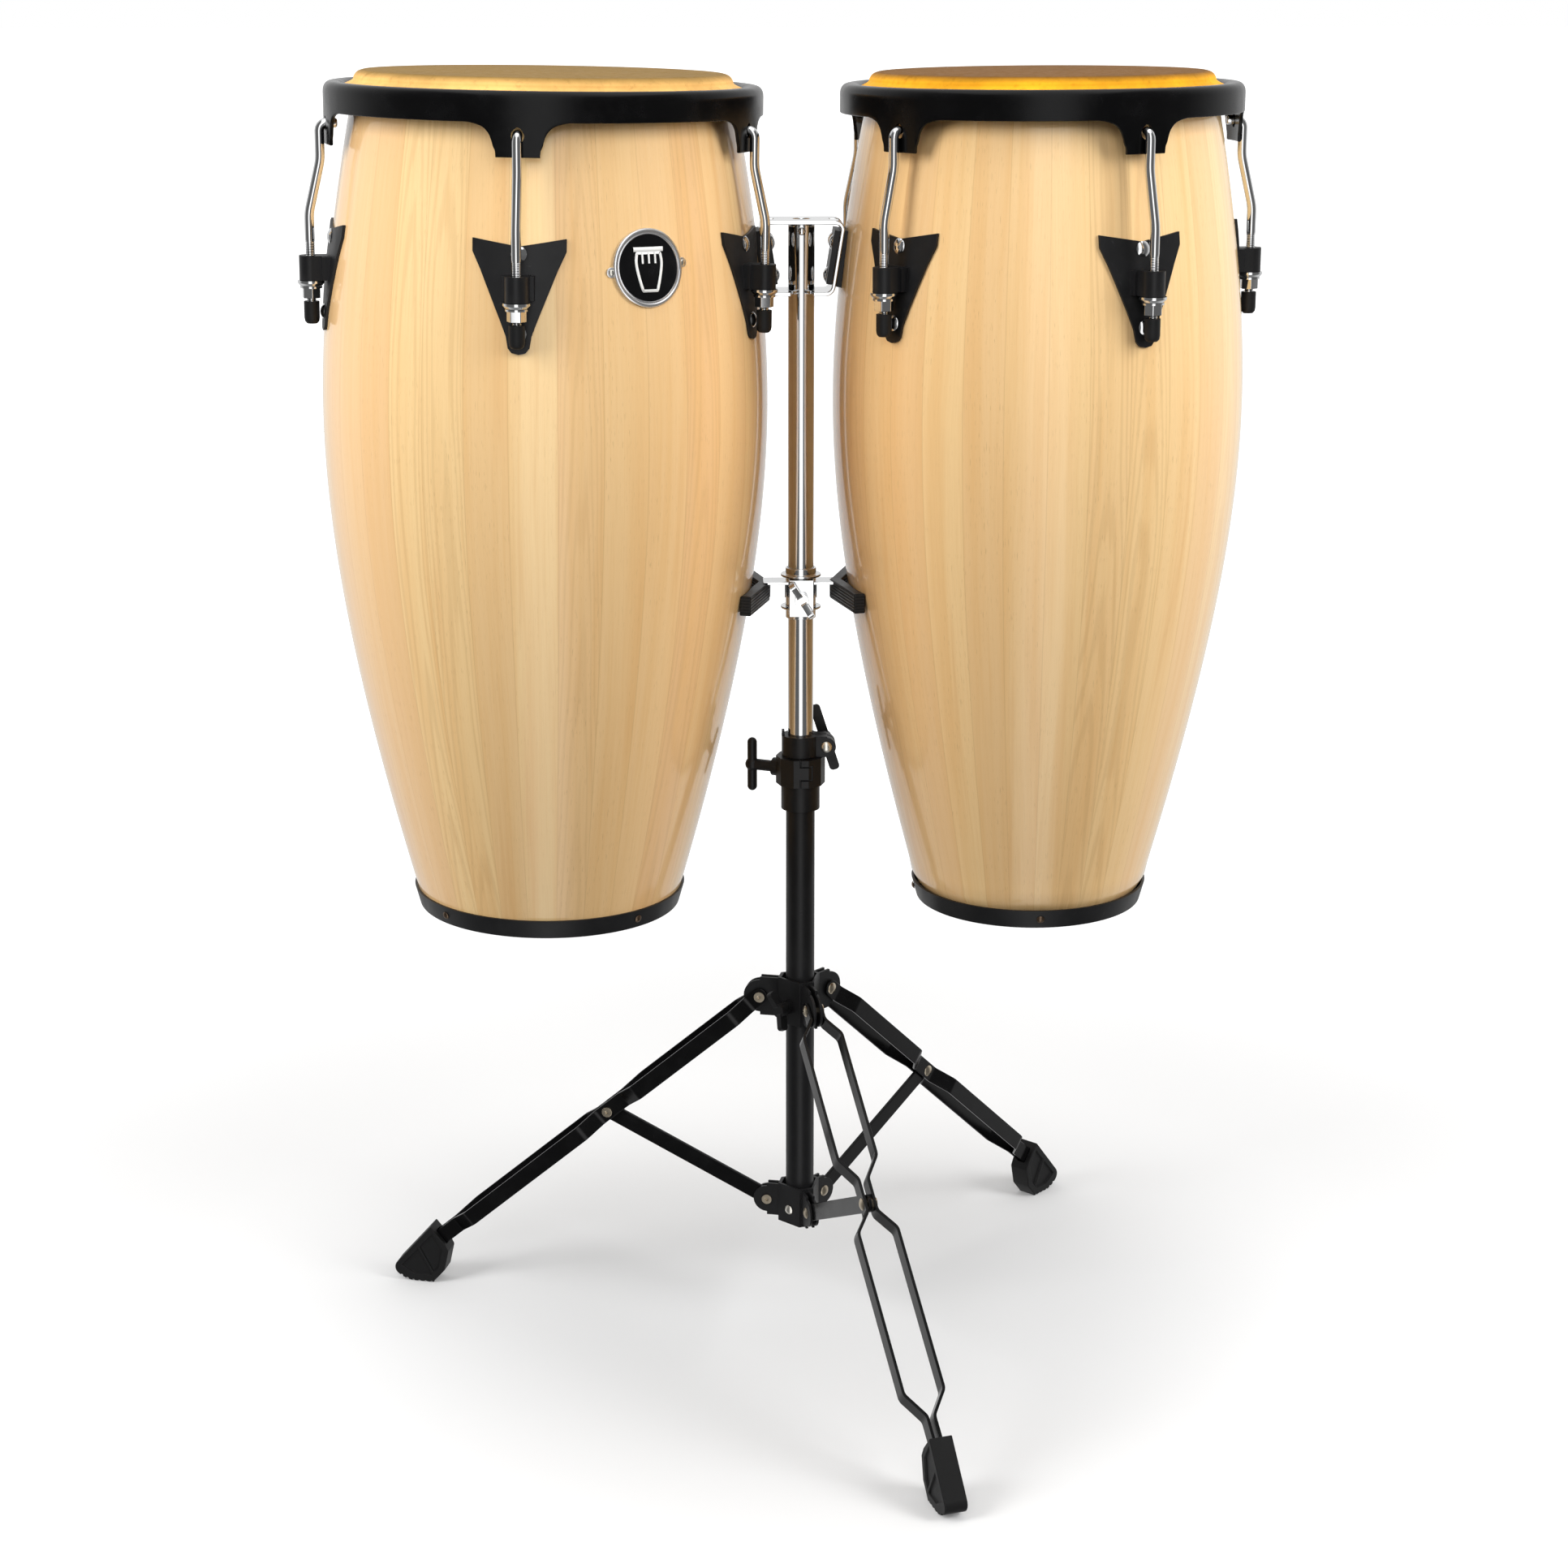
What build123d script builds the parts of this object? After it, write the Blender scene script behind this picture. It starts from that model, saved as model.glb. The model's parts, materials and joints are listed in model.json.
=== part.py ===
from build123d import *
import os
from math import asin, atan2, cos, degrees, hypot, radians, sin, sqrt

# A pair of conga drums bolted to one folding double stand.
# Millimetres. The origin is on the floor under the axis of the stand's tube, +Z is up,
# -Y is the player's side and the two drums stand side by side along X.
# Every repeated piece is made at the front (-Y side) and turned about Z into its place.
# An azimuth is measured from -Y towards +X, in degrees.

os.makedirs("parts", exist_ok=True)

# ---------------------------------------------------------------- driving dimensions
DRUM_LIFT = 408.7            # floor to the bottom of both drums
DRUM_HEIGHT = 711.0          # bottom ring to playing surface (28 inches)
STAVE = 11.0                 # wall of the shell
SHELL_SEAM = 57.0            # where the turned surfaces close, clear of every bore
FIT = 0.1                    # gap between pieces that are fixed to each other
RUN = 0.05                   # radial clearance of a hinge
GAP = 0.35                   # gap between pieces that pass each other

RING_HEIGHT = 16.6
RING_THICK = 2.4
HOOP_STEEL = 3.0
HOOP_TOP = 704.5
HOOP_BOTTOM = 678.0
EAR_BOTTOM = 652.0
HOOK_HEIGHT = 669.0
ROD_RADIUS = 3.95
LUG_TOP = 564.0
LUG_BOTTOM = 544.0
LUG_RADIUS = 9.2
LUG_STANDOFF = 12.4          # rod's centre from the face of the side plate
LUG_FOOT = (25.0, 4.5)       # width and depth of the lug's welded foot
CUP_RADIUS = 10.9
ROD_END = 514.0
PLATE_TOP = 591.0
PLATE_TIP = 503.0
PLATE_THICK = 2.4
SCREW_HEIGHTS = (579.0, 518.6)

UPPER_TUBE_R = 11.11         # 7/8 inch tube
LOWER_TUBE_R = 12.7          # 1 inch tube
LOWER_TUBE_BORE = 11.4
UPPER_TUBE_TOP = 995.0
UPPER_TUBE_BOTTOM = 330.0
LOWER_TUBE_TOP = 500.0
LOWER_TUBE_BOTTOM = 96.0

BRACKET_STEEL = 3.4
BRACKET_WIDTH = 46.0
BRACKET_TOP = 998.3          # middle of the strap's thickness
BRACKET_FOOT = 939.7
BRACKET_HALF_TOP = 34.6
BRACKET_HALF_FOOT = 25.2

BRACE_HEIGHT = 681.0
PAD_ANGLE = 15.5             # each arm of a pad lies along its shell this far round from the middle
PAD_LENGTH = 64.0            # one arm of a pad, from its bend to its end
PAD_THICK = 8.8
PAD_TALL = 17.0
PAD_GAP = 0.45

LEG_AZIMUTHS = {"front": 16.9, "right": 136.9, "left": 256.9}
COLLAR_PIVOT = (36.0, 311.0)  # radius from the tube's axis, height
MID_PIVOT = (180.0, 187.0)
HUB_PIVOT = (30.0, 113.0)
STRAP_WIDE = 15.0
STRAP_THICK = 2.6
LINK_THICK = 3.0
EAR_THICK = 2.4
EAR_OFFSET = 3.05
RIVET_R = 3.0
LEG_END = 432.0              # along the leg, from the collar pivot

DRUMS = {
    "left": dict(
        foot_x=-221.9, lean=0.91, hoop_r=179.6, head_r=152.4, ring_r=111.7,
        outline=[(111.7, 0), (165.1, 225), (186.6, 443), (172.3, 600), (153.6, 704)],
        ears=(-3.6, 68.4, 140.4, 212.4, 284.4), ring_screws=(-47, 43, 133, 223), side=1,
    ),
    "right": dict(
        foot_x=202.6, lean=-0.40, hoop_r=166.1, head_r=139.7, ring_r=96.4,
        outline=[(96.4, 0), (149.2, 222), (172.7, 440), (159.4, 600), (141.0, 704)],
        ears=(-49, 23, 95, 167, 239), ring_screws=(-90, 0, 90, 180), side=-1,
    ),
}

NODES = {}


# ---------------------------------------------------------------- helpers
def turned(shape, azimuth):
    """A shape made at the front, turned about Z to its azimuth."""
    return Rot(0, 0, azimuth) * shape


def ring(outer, inner, low, high):
    """A plain tube about Z."""
    body = Pos(0, 0, low) * Cylinder(outer, high - low, align=(Align.CENTER, Align.CENTER, Align.MIN))
    return body - Pos(0, 0, low - 1) * Cylinder(
        inner, high - low + 2, align=(Align.CENTER, Align.CENTER, Align.MIN)
    )


def rod(radius, start, end):
    """A round bar between two points."""
    span = Vector(*end) - Vector(*start)
    plane = Plane(origin=start, z_dir=span)
    return plane * Cylinder(radius, span.length, align=(Align.CENTER, Align.CENTER, Align.MIN))


def lathe(points):
    """A closed outline of (radius, height) points turned about Z."""
    return revolve(Plane.XZ * make_face(Polyline(*points, close=True)), Axis.Z)


def solids_of(*shapes):
    """Separate solids, kept as a group."""
    found = [solid for shape in shapes for solid in shape.solids()]
    return found[0] if len(found) == 1 else Compound(children=found)


def dome(radius, height):
    """A domed screw head that stands on the XY plane."""
    big = (radius**2 + height**2) / (2 * height)
    ball = Pos(0, 0, height - big) * Sphere(big)
    return ball & Pos(0, 0, height) * Box(3 * radius, 3 * radius, 2 * height)


def facing(radius, height, tilt=0.0):
    """The plane that faces outwards at the front, at a radius and a height, tilted down in degrees."""
    normal = (0, -cos(radians(tilt)), -sin(radians(tilt)))
    return Plane(origin=(0, -radius, height), x_dir=(1, 0, 0), z_dir=normal)


def slope_at(outline, height):
    """Radius of a drum's outline at a height, by straight lines between close samples."""
    curve = Spline(*outline)
    low, high = 0.0, 1.0
    for _ in range(40):
        mid = (low + high) / 2
        if (curve @ mid).Y < height:
            low = mid
        else:
            high = mid
    return (curve @ low).X


# ---------------------------------------------------------------- drums
def shell_body(drum, grow):
    """The solid inside of the shell's outer surface, grown outwards."""
    outline = [(radius + grow, height) for radius, height in drum["outline"]]
    curve = Spline(*outline)
    close = Polyline(outline[-1], (0, outline[-1][1]), (0, 0), outline[0])
    return revolve(Plane.XZ * make_face(curve + close), Axis.Z)


def make_shell(drum):
    """The stave shell: barrel outside and inside, rounded bearing edge, open at the bottom."""
    low = 2.8
    edge = drum["head_r"]
    outer = [(slope_at(drum["outline"], low), low)] + drum["outline"][1:]
    inner = [(radius - STAVE, height) for radius, height in reversed(outer)]
    rim = Polyline(outer[-1], (edge - 0.6, 706.4), (edge - 3.2, 708.6), (edge - 5.5, 708.6), inner[0])
    foot = Line(inner[-1], outer[0])
    return turned(revolve(Plane.XZ * make_face(Spline(*outer) + rim + Spline(*inner) + foot), Axis.Z), SHELL_SEAM)


def make_head(drum):
    """The skin: flat on top, bent over the bearing edge and down to the flesh ring."""
    edge, skin = drum["head_r"], 1.3
    out = drum["hoop_r"] - 12.4
    top = DRUM_HEIGHT
    upper = [(0, top), (edge - 5.0, top), (edge + 0.6, top - 2.2), (edge + 3.4, top - 6.0), (out, 695.2)]
    lower = [(out - 0.9, 693.9), (edge + 2.2, top - 7.0), (edge - 0.2, top - 3.4)]
    lower += [(edge - 3.4, top - 1.8), (edge - 5.3, top - skin), (0, top - skin)]
    return lathe(upper + lower)


def make_flesh_ring(drum):
    """The steel ring that the skin is lapped round, under the hoop."""
    middle = drum["hoop_r"] - 10.4
    return revolve(Plane.XZ * Pos(middle, 691.0) * Circle(3.6), Axis.Z)


def ear_outline():
    """One ear: it flares into the band above and has small steps at its lower corners."""
    low = EAR_BOTTOM - 1.0
    right = [(42.0, 680.0), (38.7, 677.8), (33.0, 676.6), (27.1, 674.4), (22.5, 669.8), (20.2, 664.1)]
    right += [(18.6, 658.6), (17.9, 657.6), (17.2, low)]
    left = [(-x, z) for x, z in reversed(right)]
    return make_face(Polyline(*right, *left, close=True))


def make_hoop(drum):
    """Band with a rolled top edge over the flesh ring, five ears and a slot for each hook."""
    out, steel = drum["hoop_r"], HOOP_STEEL
    lip = out - 16.5
    section = [
        (out, EAR_BOTTOM), (out, HOOP_TOP - 7.0), (out - 2.0, HOOP_TOP - 2.2), (out - 6.5, HOOP_TOP),
        (lip + 2.0, HOOP_TOP - 1.2), (lip, HOOP_TOP - 4.5), (lip + 2.0, HOOP_TOP - 5.6),
        (lip + 3.4, HOOP_TOP - 3.9), (out - 6.5, HOOP_TOP - steel), (out - steel - 1.2, HOOP_TOP - 4.4),
        (out - steel, HOOP_TOP - 8.0), (out - steel, EAR_BOTTOM),
    ]
    body = lathe(section)
    between = ring(out + 9, out - 9, EAR_BOTTOM - 5, HOOP_BOTTOM)
    ear = extrude(Plane.XZ * ear_outline(), 400)
    hook = Plane.XZ * Pos(0, HOOK_HEIGHT - 1.0) * SlotOverall(13.0, 9.0, rotation=90)
    for azimuth in drum["ears"]:
        between -= turned(ear, azimuth)
        body -= turned(extrude(hook, 400), azimuth)
    return body - between


def rod_line(drum):
    """Radius of a tension rod at its hook and at its lug."""
    at_hook = drum["hoop_r"] + ROD_RADIUS + 1.0
    at_lug = slope_at(drum["outline"], LUG_BOTTOM) + PLATE_THICK + LUG_STANDOFF
    return at_hook, at_lug


def make_rods(drum):
    """Hooked rods: through the ear's slot, down with a slight set outwards, to a threaded end."""
    at_hook, at_lug = rod_line(drum)
    path = FilletPolyline(
        (0, -(drum["hoop_r"] - 9.5), HOOK_HEIGHT), (0, -at_hook, HOOK_HEIGHT), (0, -at_hook, 640),
        (0, -at_lug, 598), (0, -at_lug, ROD_END), radius=[6.0, 40.0, 40.0],
    )
    start = Plane(origin=path @ 0, z_dir=path % 0)
    one = sweep(start * Circle(ROD_RADIUS), path)
    return solids_of(*[turned(one, azimuth) for azimuth in drum["ears"]])


def plate_outline():
    """Arrowhead: a shallow notch in the top edge, rounded shoulders and a round tip."""
    tip = 10.0
    right = [(36.5, PLATE_TOP), (36.5, PLATE_TOP - 10), (30, PLATE_TOP - 24), (15, PLATE_TIP + 27)]
    right += [(tip, PLATE_TIP + 14), (tip - 1.5, PLATE_TIP + 5), (5.5, PLATE_TIP + 1.2), (0, PLATE_TIP)]
    left = [(-x, z) for x, z in reversed(right[:-1])]
    return make_face(Polyline((0, PLATE_TOP - 6), *right, *left, close=True))


def make_lugs(drum):
    """Side plates bent to the shell, each with a welded strap that carries the rod's sleeve."""
    _, at_lug = rod_line(drum)
    skin = shell_body(drum, FIT + PLATE_THICK) - shell_body(drum, FIT)
    plate = extrude(Plane.XZ * plate_outline(), 400) & skin
    sleeve = Pos(0, -at_lug, 0) * ring(LUG_RADIUS, ROD_RADIUS + 0.5, LUG_BOTTOM, LUG_TOP)
    middle = (LUG_TOP + LUG_BOTTOM) / 2
    depth = LUG_STANDOFF + 6.0
    block = Pos(0, -at_lug + depth / 2, middle) * Box(2 * LUG_RADIUS, depth, LUG_TOP - LUG_BOTTOM)
    wide, deep = LUG_FOOT
    surface = slope_at(drum["outline"], LUG_BOTTOM) + PLATE_THICK
    block += Pos(0, -surface + 10 - deep, middle) * Box(wide, 20, LUG_TOP - LUG_BOTTOM - 1.0)
    block -= shell_body(drum, FIT)
    block -= Pos(0, -at_lug, 0) * Cylinder(ROD_RADIUS + 0.5, 2000)
    lug = plate + sleeve + block
    for height in SCREW_HEIGHTS:
        lug -= surface_plane(drum, height, 8) * Cylinder(2.5 + FIT, 20)
    return solids_of(*[turned(lug, azimuth) for azimuth in drum["ears"]])


def surface_plane(drum, height, lift):
    """The plane on the shell's surface at the front, square to it, lifted off by a distance."""
    rise = slope_at(drum["outline"], height + 5) - slope_at(drum["outline"], height - 5)
    tilt = degrees(atan2(rise, 10.0))
    return facing(slope_at(drum["outline"], height), height, tilt) * Pos(0, 0, lift)


def plate_screw(drum, height):
    """A dome-head screw through plate and shell."""
    length = PLATE_THICK + STAVE + 4.0
    screw = dome(6.4, 2.7) + Pos(0, 0, -length / 2) * Cylinder(2.5, length)
    return surface_plane(drum, height, PLATE_THICK + 3 * FIT) * screw


def screw_bores(drum):
    """Bores through plate and shell for the side plates' screws."""
    bore = Cylinder(2.5 + FIT, 2 * STAVE + 20)
    return [
        turned(surface_plane(drum, height, 0) * bore, a) for a in drum["ears"] for height in SCREW_HEIGHTS
    ]


def make_plate_screws(drum):
    """Ten dome-head screws."""
    return solids_of(
        *[turned(plate_screw(drum, height), a) for a in drum["ears"] for height in SCREW_HEIGHTS]
    )


def hexagon(across, low, high, hole):
    """A hexagon nut about Z."""
    nut = Pos(0, 0, low) * extrude(RegularPolygon(across / 2, 6, major_radius=False), high - low)
    cone = Pos(0, 0, (low + high) / 2) * Cylinder(across * 0.56, high - low)
    return (nut & cone) - Pos(0, 0, (low + high) / 2) * Cylinder(hole, high - low + 2)


def at_rods(drum, shape):
    """A shape made about Z, put on each of a drum's rods."""
    _, at_lug = rod_line(drum)
    return solids_of(*[turned(Pos(0, -at_lug, 0) * shape, azimuth) for azimuth in drum["ears"]])


def make_cup_washers(drum):
    """A cup washer that seats in the sleeve's mouth."""
    bore = ROD_RADIUS + 0.08
    rim = CUP_RADIUS
    cup = lathe([(bore, 543.9), (rim, 543.9), (rim, 541.9), (9.0, 539.6), (bore, 539.6)])
    return at_rods(drum, cup)


def make_nuts(drum):
    """The tuning nuts, with a round flange above the hexagon."""
    flange = ring(9.0, ROD_RADIUS + 0.08, 537.6, 539.4)
    return at_rods(drum, flange + hexagon(13.6, 529.6, 537.6, ROD_RADIUS + 0.08))


def make_caps(drum):
    """Rubber caps on the rods' ends."""
    low, high = 508.6, 527.0
    outer = lathe([(0, low), (4.2, low + 0.3), (5.8, low + 2.2), (6.3, low + 5), (6.3, high), (0, high)])
    return at_rods(drum, outer - Pos(0, 0, ROD_END - 0.1) * Cylinder(
        ROD_RADIUS + RUN, 40, align=(Align.CENTER, Align.CENTER, Align.MIN)
    ))


def make_bottom_ring(drum):
    """Steel band round the shell's foot with a lip under the staves."""
    grown = shell_body(drum, FIT + RING_THICK) & Pos(0, 0, RING_HEIGHT / 2) * Box(500, 500, RING_HEIGHT)
    room = shell_body(drum, FIT) & Pos(0, 0, 2.6 + 50) * Box(500, 500, 100)
    hole = Cylinder(drum["ring_r"] - STAVE, 50)
    return grown - room - hole


def make_ring_screws(drum, bore):
    """Dome-head wood screws through the bottom ring, or the bores that they sit in."""
    screw = dome(3.6, 1.9) + Pos(0, 0, -4.0) * Cylinder(1.7, 8.0)
    hole = Pos(0, 0, -4.0) * Cylinder(1.7 + FIT, 16.0)
    seat = surface_plane(drum, 9.0, RING_THICK + 3 * FIT)
    return [turned(seat * (hole if bore else screw), azimuth) for azimuth in drum["ring_screws"]]


def place(drum, shape):
    """From a drum's own frame to the stand's."""
    return Pos(drum["foot_x"], 0, DRUM_LIFT) * Rot(0, drum["lean"], 0) * shape


# ---------------------------------------------------------------- drum mounting on the bracket
MOUNT_LOW, MOUNT_HIGH = 943.5, 990.0
MOUNT_HALF = 21.0
MOUNT_BOLTS = ((-12.0, 981.0), (12.0, 981.0), (0.0, 953.0))
INNER_PLATE = 4.6


def bar_tilt():
    """Slope of the bracket's side bars from upright, in degrees."""
    return degrees(atan2(BRACKET_HALF_TOP - BRACKET_HALF_FOOT, BRACKET_TOP - BRACKET_FOOT))


def bar_plane(side):
    """Plane on the middle of a side bar, facing its drum. side is -1 for the left drum."""
    middle = (side * (BRACKET_HALF_TOP + BRACKET_HALF_FOOT) / 2, 0, (BRACKET_TOP + BRACKET_FOOT) / 2)
    tilt = radians(bar_tilt())
    return Plane(origin=middle, x_dir=(0, 1, 0), z_dir=(side * cos(tilt), 0, -sin(tilt)))


def mount_points():
    """Bolt centres in the bar's plane: across, and up from its middle."""
    middle = (BRACKET_TOP + BRACKET_FOOT) / 2
    return [(y, z - middle) for y, z in MOUNT_BOLTS]


def up_sign(side):
    """The bar plane's second axis points down on one side, so heights change sign."""
    return -1 if bar_plane(side).y_dir.Z < 0 else 1


def bolt_shapes(drum, radius, low, high):
    """Round bars on the bolt centres of a drum's side bar, between two depths from its middle."""
    side = -drum["side"]
    plane = bar_plane(side)
    bars = []
    for across, up in mount_points():
        bar = Pos(across, up_sign(side) * up, (low + high) / 2) * Cylinder(radius, high - low)
        bars.append(plane * bar)
    return bars


def make_saddle(drum):
    """Moulded saddle between shell and bar: flat on the bar, hollowed to the shell."""
    side = -drum["side"]
    face = BRACKET_STEEL / 2 + FIT
    tall = MOUNT_HIGH - MOUNT_LOW
    block = bar_plane(side) * Pos(0, 0, face + 8) * Box(2 * MOUNT_HALF, tall, 16)
    body = block - place(drum, shell_body(drum, FIT))
    for bar in bolt_shapes(drum, 3.0 + FIT, -20, 40):
        body -= bar
    return max(body.solids(), key=lambda solid: solid.volume)


def make_inner_plate(drum):
    """Backing plate on the tube's side of the bar."""
    side = -drum["side"]
    face = -BRACKET_STEEL / 2 - FIT
    tall = MOUNT_HIGH - MOUNT_LOW - 2.0
    body = bar_plane(side) * Pos(0, 0, face - INNER_PLATE / 2) * Box(2 * MOUNT_HALF, tall, INNER_PLATE)
    for bar in bolt_shapes(drum, 3.0 + FIT, -20, 40):
        body -= bar
    return body


def make_mount_bolts(drum):
    """Dome-head bolts through plate, bar, saddle and shell."""
    side = -drum["side"]
    plane = bar_plane(side)
    seat = -BRACKET_STEEL / 2 - 2 * FIT - INNER_PLATE
    bolts = []
    for across, up in mount_points():
        head = Rot(180, 0, 0) * dome(6.4, 3.0)
        bar = Pos(0, 0, 15) * Cylinder(3.0, 30)
        bolts.append(plane * Pos(across, up_sign(side) * up, seat) * (head + bar))
    return solids_of(*bolts)


# ---------------------------------------------------------------- badge of the left drum
BADGE_AZIMUTH = 29.9
BADGE_HEIGHT = 568.0
BADGE_R = 30.4
BADGE_FIELD_R = 25.8
BADGE_TAB = (31.6, 2.8, 3.9)   # across, up, radius of the screw tabs, the left one mirrored down
TAB_THICK = 1.3


def make_badge(drum):
    """Round badge bent to the shell: a raised rim, a plain field, two tabs and their screws."""
    def disc(radius, across, up, low, high):
        outline = Plane.XZ * Pos(across, BADGE_HEIGHT + up) * Circle(radius)
        return extrude(outline, 400) & (shell_body(drum, high) - shell_body(drum, low))

    plate = disc(BADGE_R, 0, 0, FIT, 1.8)
    plate += disc(BADGE_R, 0, 0, 1.0, 3.0) - disc(BADGE_FIELD_R, 0, 0, 0.5, 4.0)
    across, up, radius = BADGE_TAB
    pins = []
    for side in (-1, 1):
        plate += disc(radius, side * across, side * up, FIT, TAB_THICK)
        angle = degrees(asin(side * across / slope_at(drum["outline"], BADGE_HEIGHT)))
        seat = surface_plane(drum, BADGE_HEIGHT + side * up, TAB_THICK + 2 * FIT)
        pins.append(turned(seat * dome(2.6, 1.2), angle))
    return solids_of(*[turned(shape, BADGE_AZIMUTH) for shape in [plate, *pins]])


def make_drum(name, drum):
    """All the pieces of one drum."""
    shell = make_shell(drum)
    for bore in screw_bores(drum):
        shell -= bore
    for bore in make_ring_screws(drum, True):
        shell -= bore
    shell = place(drum, shell)
    for bore in bolt_shapes(drum, 3.0 + FIT, -20, 60):
        shell -= bore
    NODES[name + "_shell"] = shell
    bottom = make_bottom_ring(drum)
    for bore in make_ring_screws(drum, True):
        bottom -= bore
    pieces = {
        "head": make_head(drum),
        "flesh_ring": make_flesh_ring(drum),
        "hoop": make_hoop(drum),
        "tension_rods": make_rods(drum),
        "side_plates": make_lugs(drum),
        "plate_screws": make_plate_screws(drum),
        "cup_washers": make_cup_washers(drum),
        "tuning_nuts": make_nuts(drum),
        "rod_caps": make_caps(drum),
        "bottom_ring": bottom,
    }
    for key, shape in pieces.items():
        NODES[f"{name}_{key}"] = place(drum, shape)
    NODES[name + "_saddle"] = make_saddle(drum)
    NODES[name + "_mount_plate"] = make_inner_plate(drum)


# ---------------------------------------------------------------- mast: tube, bracket
def make_bracket():
    """Bent strap: flat top over the tube, sides sloping in, feet notched round the tube."""
    foot, top = BRACKET_FOOT, BRACKET_TOP
    path = FilletPolyline(
        (-9, 0, foot), (-BRACKET_HALF_FOOT, 0, foot), (-BRACKET_HALF_TOP, 0, top),
        (BRACKET_HALF_TOP, 0, top), (BRACKET_HALF_FOOT, 0, foot), (9, 0, foot), radius=[7, 6, 6, 7],
    )
    start = Plane(origin=path @ 0, x_dir=(0, 1, 0), z_dir=path % 0)
    strap = sweep(start * Rectangle(BRACKET_WIDTH, BRACKET_STEEL), path)
    strap -= Pos(0, 0, foot) * Cylinder(UPPER_TUBE_R + FIT, 30)
    strap -= Pos(0, 0, top) * Cylinder(7.5, 20)
    for side in (-1, 1):
        strap -= Pos(side * 27, 0, top) * Box(7, 12, 20)
    spigot = ring(9.2, 7.5, top - BRACKET_STEEL / 2 - 18, top - BRACKET_STEEL / 2 + 0.2)
    strap += spigot
    strap -= rod(2.0 + FIT, (0, 0, top - 8), (0, -20, top - 8))
    for drum in DRUMS.values():
        for bore in bolt_shapes(drum, 3.0 + FIT, -3, 3):
            strap -= bore
    return strap


def make_upper_tube():
    """Chromed tube that slides in the lower one."""
    tube = ring(UPPER_TUBE_R, UPPER_TUBE_R - 1.6, UPPER_TUBE_BOTTOM, UPPER_TUBE_TOP)
    return tube - rod(2.0 + FIT, (0, 0, BRACKET_TOP - 8), (0, -20, BRACKET_TOP - 8))


def make_bracket_screw():
    """Small screw that holds the tube on the bracket's spigot."""
    height = BRACKET_TOP - 8
    return facing(UPPER_TUBE_R + 0.4, height) * (dome(3.4, 1.8) + Pos(0, 0, -1.9) * Cylinder(2.0, 3.8))


# ---------------------------------------------------------------- brace between the drums
def make_brace():
    """Clamp block on the tube with two discs, collars and a bent arm to each pad."""
    z = BRACE_HEIGHT
    body = ring(13.3, UPPER_TUBE_R + GAP, z - 20, z + 24)
    body += ring(17.5, 12.0, z + 16.5, z + 18.5)
    body += ring(17.5, 12.0, z - 11.5, z - 9.5)
    body += Pos(0, -11, z) * Box(21, 18, 32) - Cylinder(12.5, 3000)
    for side in (-1, 1):
        web = Pos(side * 21.5, 0, z + 5) * Box(22, 3, 15)
        flange = Pos(side * 21.5, 0, z + 11.5) * Box(22, 22, 2.4)
        body += web + flange - Cylinder(12.5, 3000)
    body -= Pos(0, 0, z) * Cylinder(UPPER_TUBE_R + GAP, 200)
    body -= rod(3.0 + RUN, (0, 0, z), (0, -40, z))
    for drum in DRUMS.values():
        body -= pad_blank(drum, 0.1)
    return max(body.solids(), key=lambda solid: solid.volume)


def pad_blank(drum, grow):
    """Rubber bar bent to a wide V, whose arms lie along the shell's side."""
    low = BRACE_HEIGHT + 6 - PAD_TALL / 2 - DRUM_LIFT
    reach = slope_at(drum["outline"], low + PAD_TALL) - 1.0
    across, ahead = cos(radians(PAD_ANGLE)), sin(radians(PAD_ANGLE))
    bend = reach / across
    thick = PAD_THICK + 1.0 + grow
    end = (bend - PAD_LENGTH * ahead, PAD_LENGTH * across)
    back = (end[0] + thick * across, end[1] + thick * ahead)
    half = [(bend, 0), end, back, (bend + thick / across, 0)]
    outline = half + [(x, -y) for x, y in reversed(half[1:3])]
    face = Pos(0, 0, low - grow) * make_face(Polyline(*outline, close=True))
    bar = extrude(face, PAD_TALL + 2 * grow) - shell_body(drum, PAD_GAP - grow)
    middle = 0 if drum["side"] > 0 else 180
    return place(drum, Rot(0, 0, middle) * bar)


def make_pads():
    """The two rubber bars that keep the shells apart."""
    return solids_of(*[pad_blank(drum, 0.0) for drum in DRUMS.values()])


def wing_head(span, root, thick):
    """Head of a wing screw about Z: a boss with two wings that rise outwards, on the XY plane."""
    body = Cylinder(root, 8, align=(Align.CENTER, Align.CENTER, Align.MIN))
    for side in (-1, 1):
        blade = Pos(side * span * 0.29, 7.0) * Rot(0, 0, side * 20) * RectangleRounded(span * 0.44, 8.0, 2.8)
        body += extrude(Plane.XZ * blade, thick / 2, both=True)
    return body


def make_brace_screw():
    """Wing screw of the brace, tilted as it was left."""
    head = Rot(0, 0, -58) * wing_head(34, 6.0, 5.0)
    shank = Pos(0, 0, -4.2) * Cylinder(3.0, 8.5)
    return facing(20.4, BRACE_HEIGHT) * (head + shank)


# ---------------------------------------------------------------- height clamp and memory lock
LOCK_LOW, LOCK_HIGH = 537.4, 556.0
CLAMP_LOW, CLAMP_SPLIT, CLAMP_TOP = 489.0, 512.0, 537.0
T_BOLT_AZIMUTH, T_BOLT_HEIGHT = 246.0, 524.0
LOCK_SCREW = (22.3, 546.5)


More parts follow.
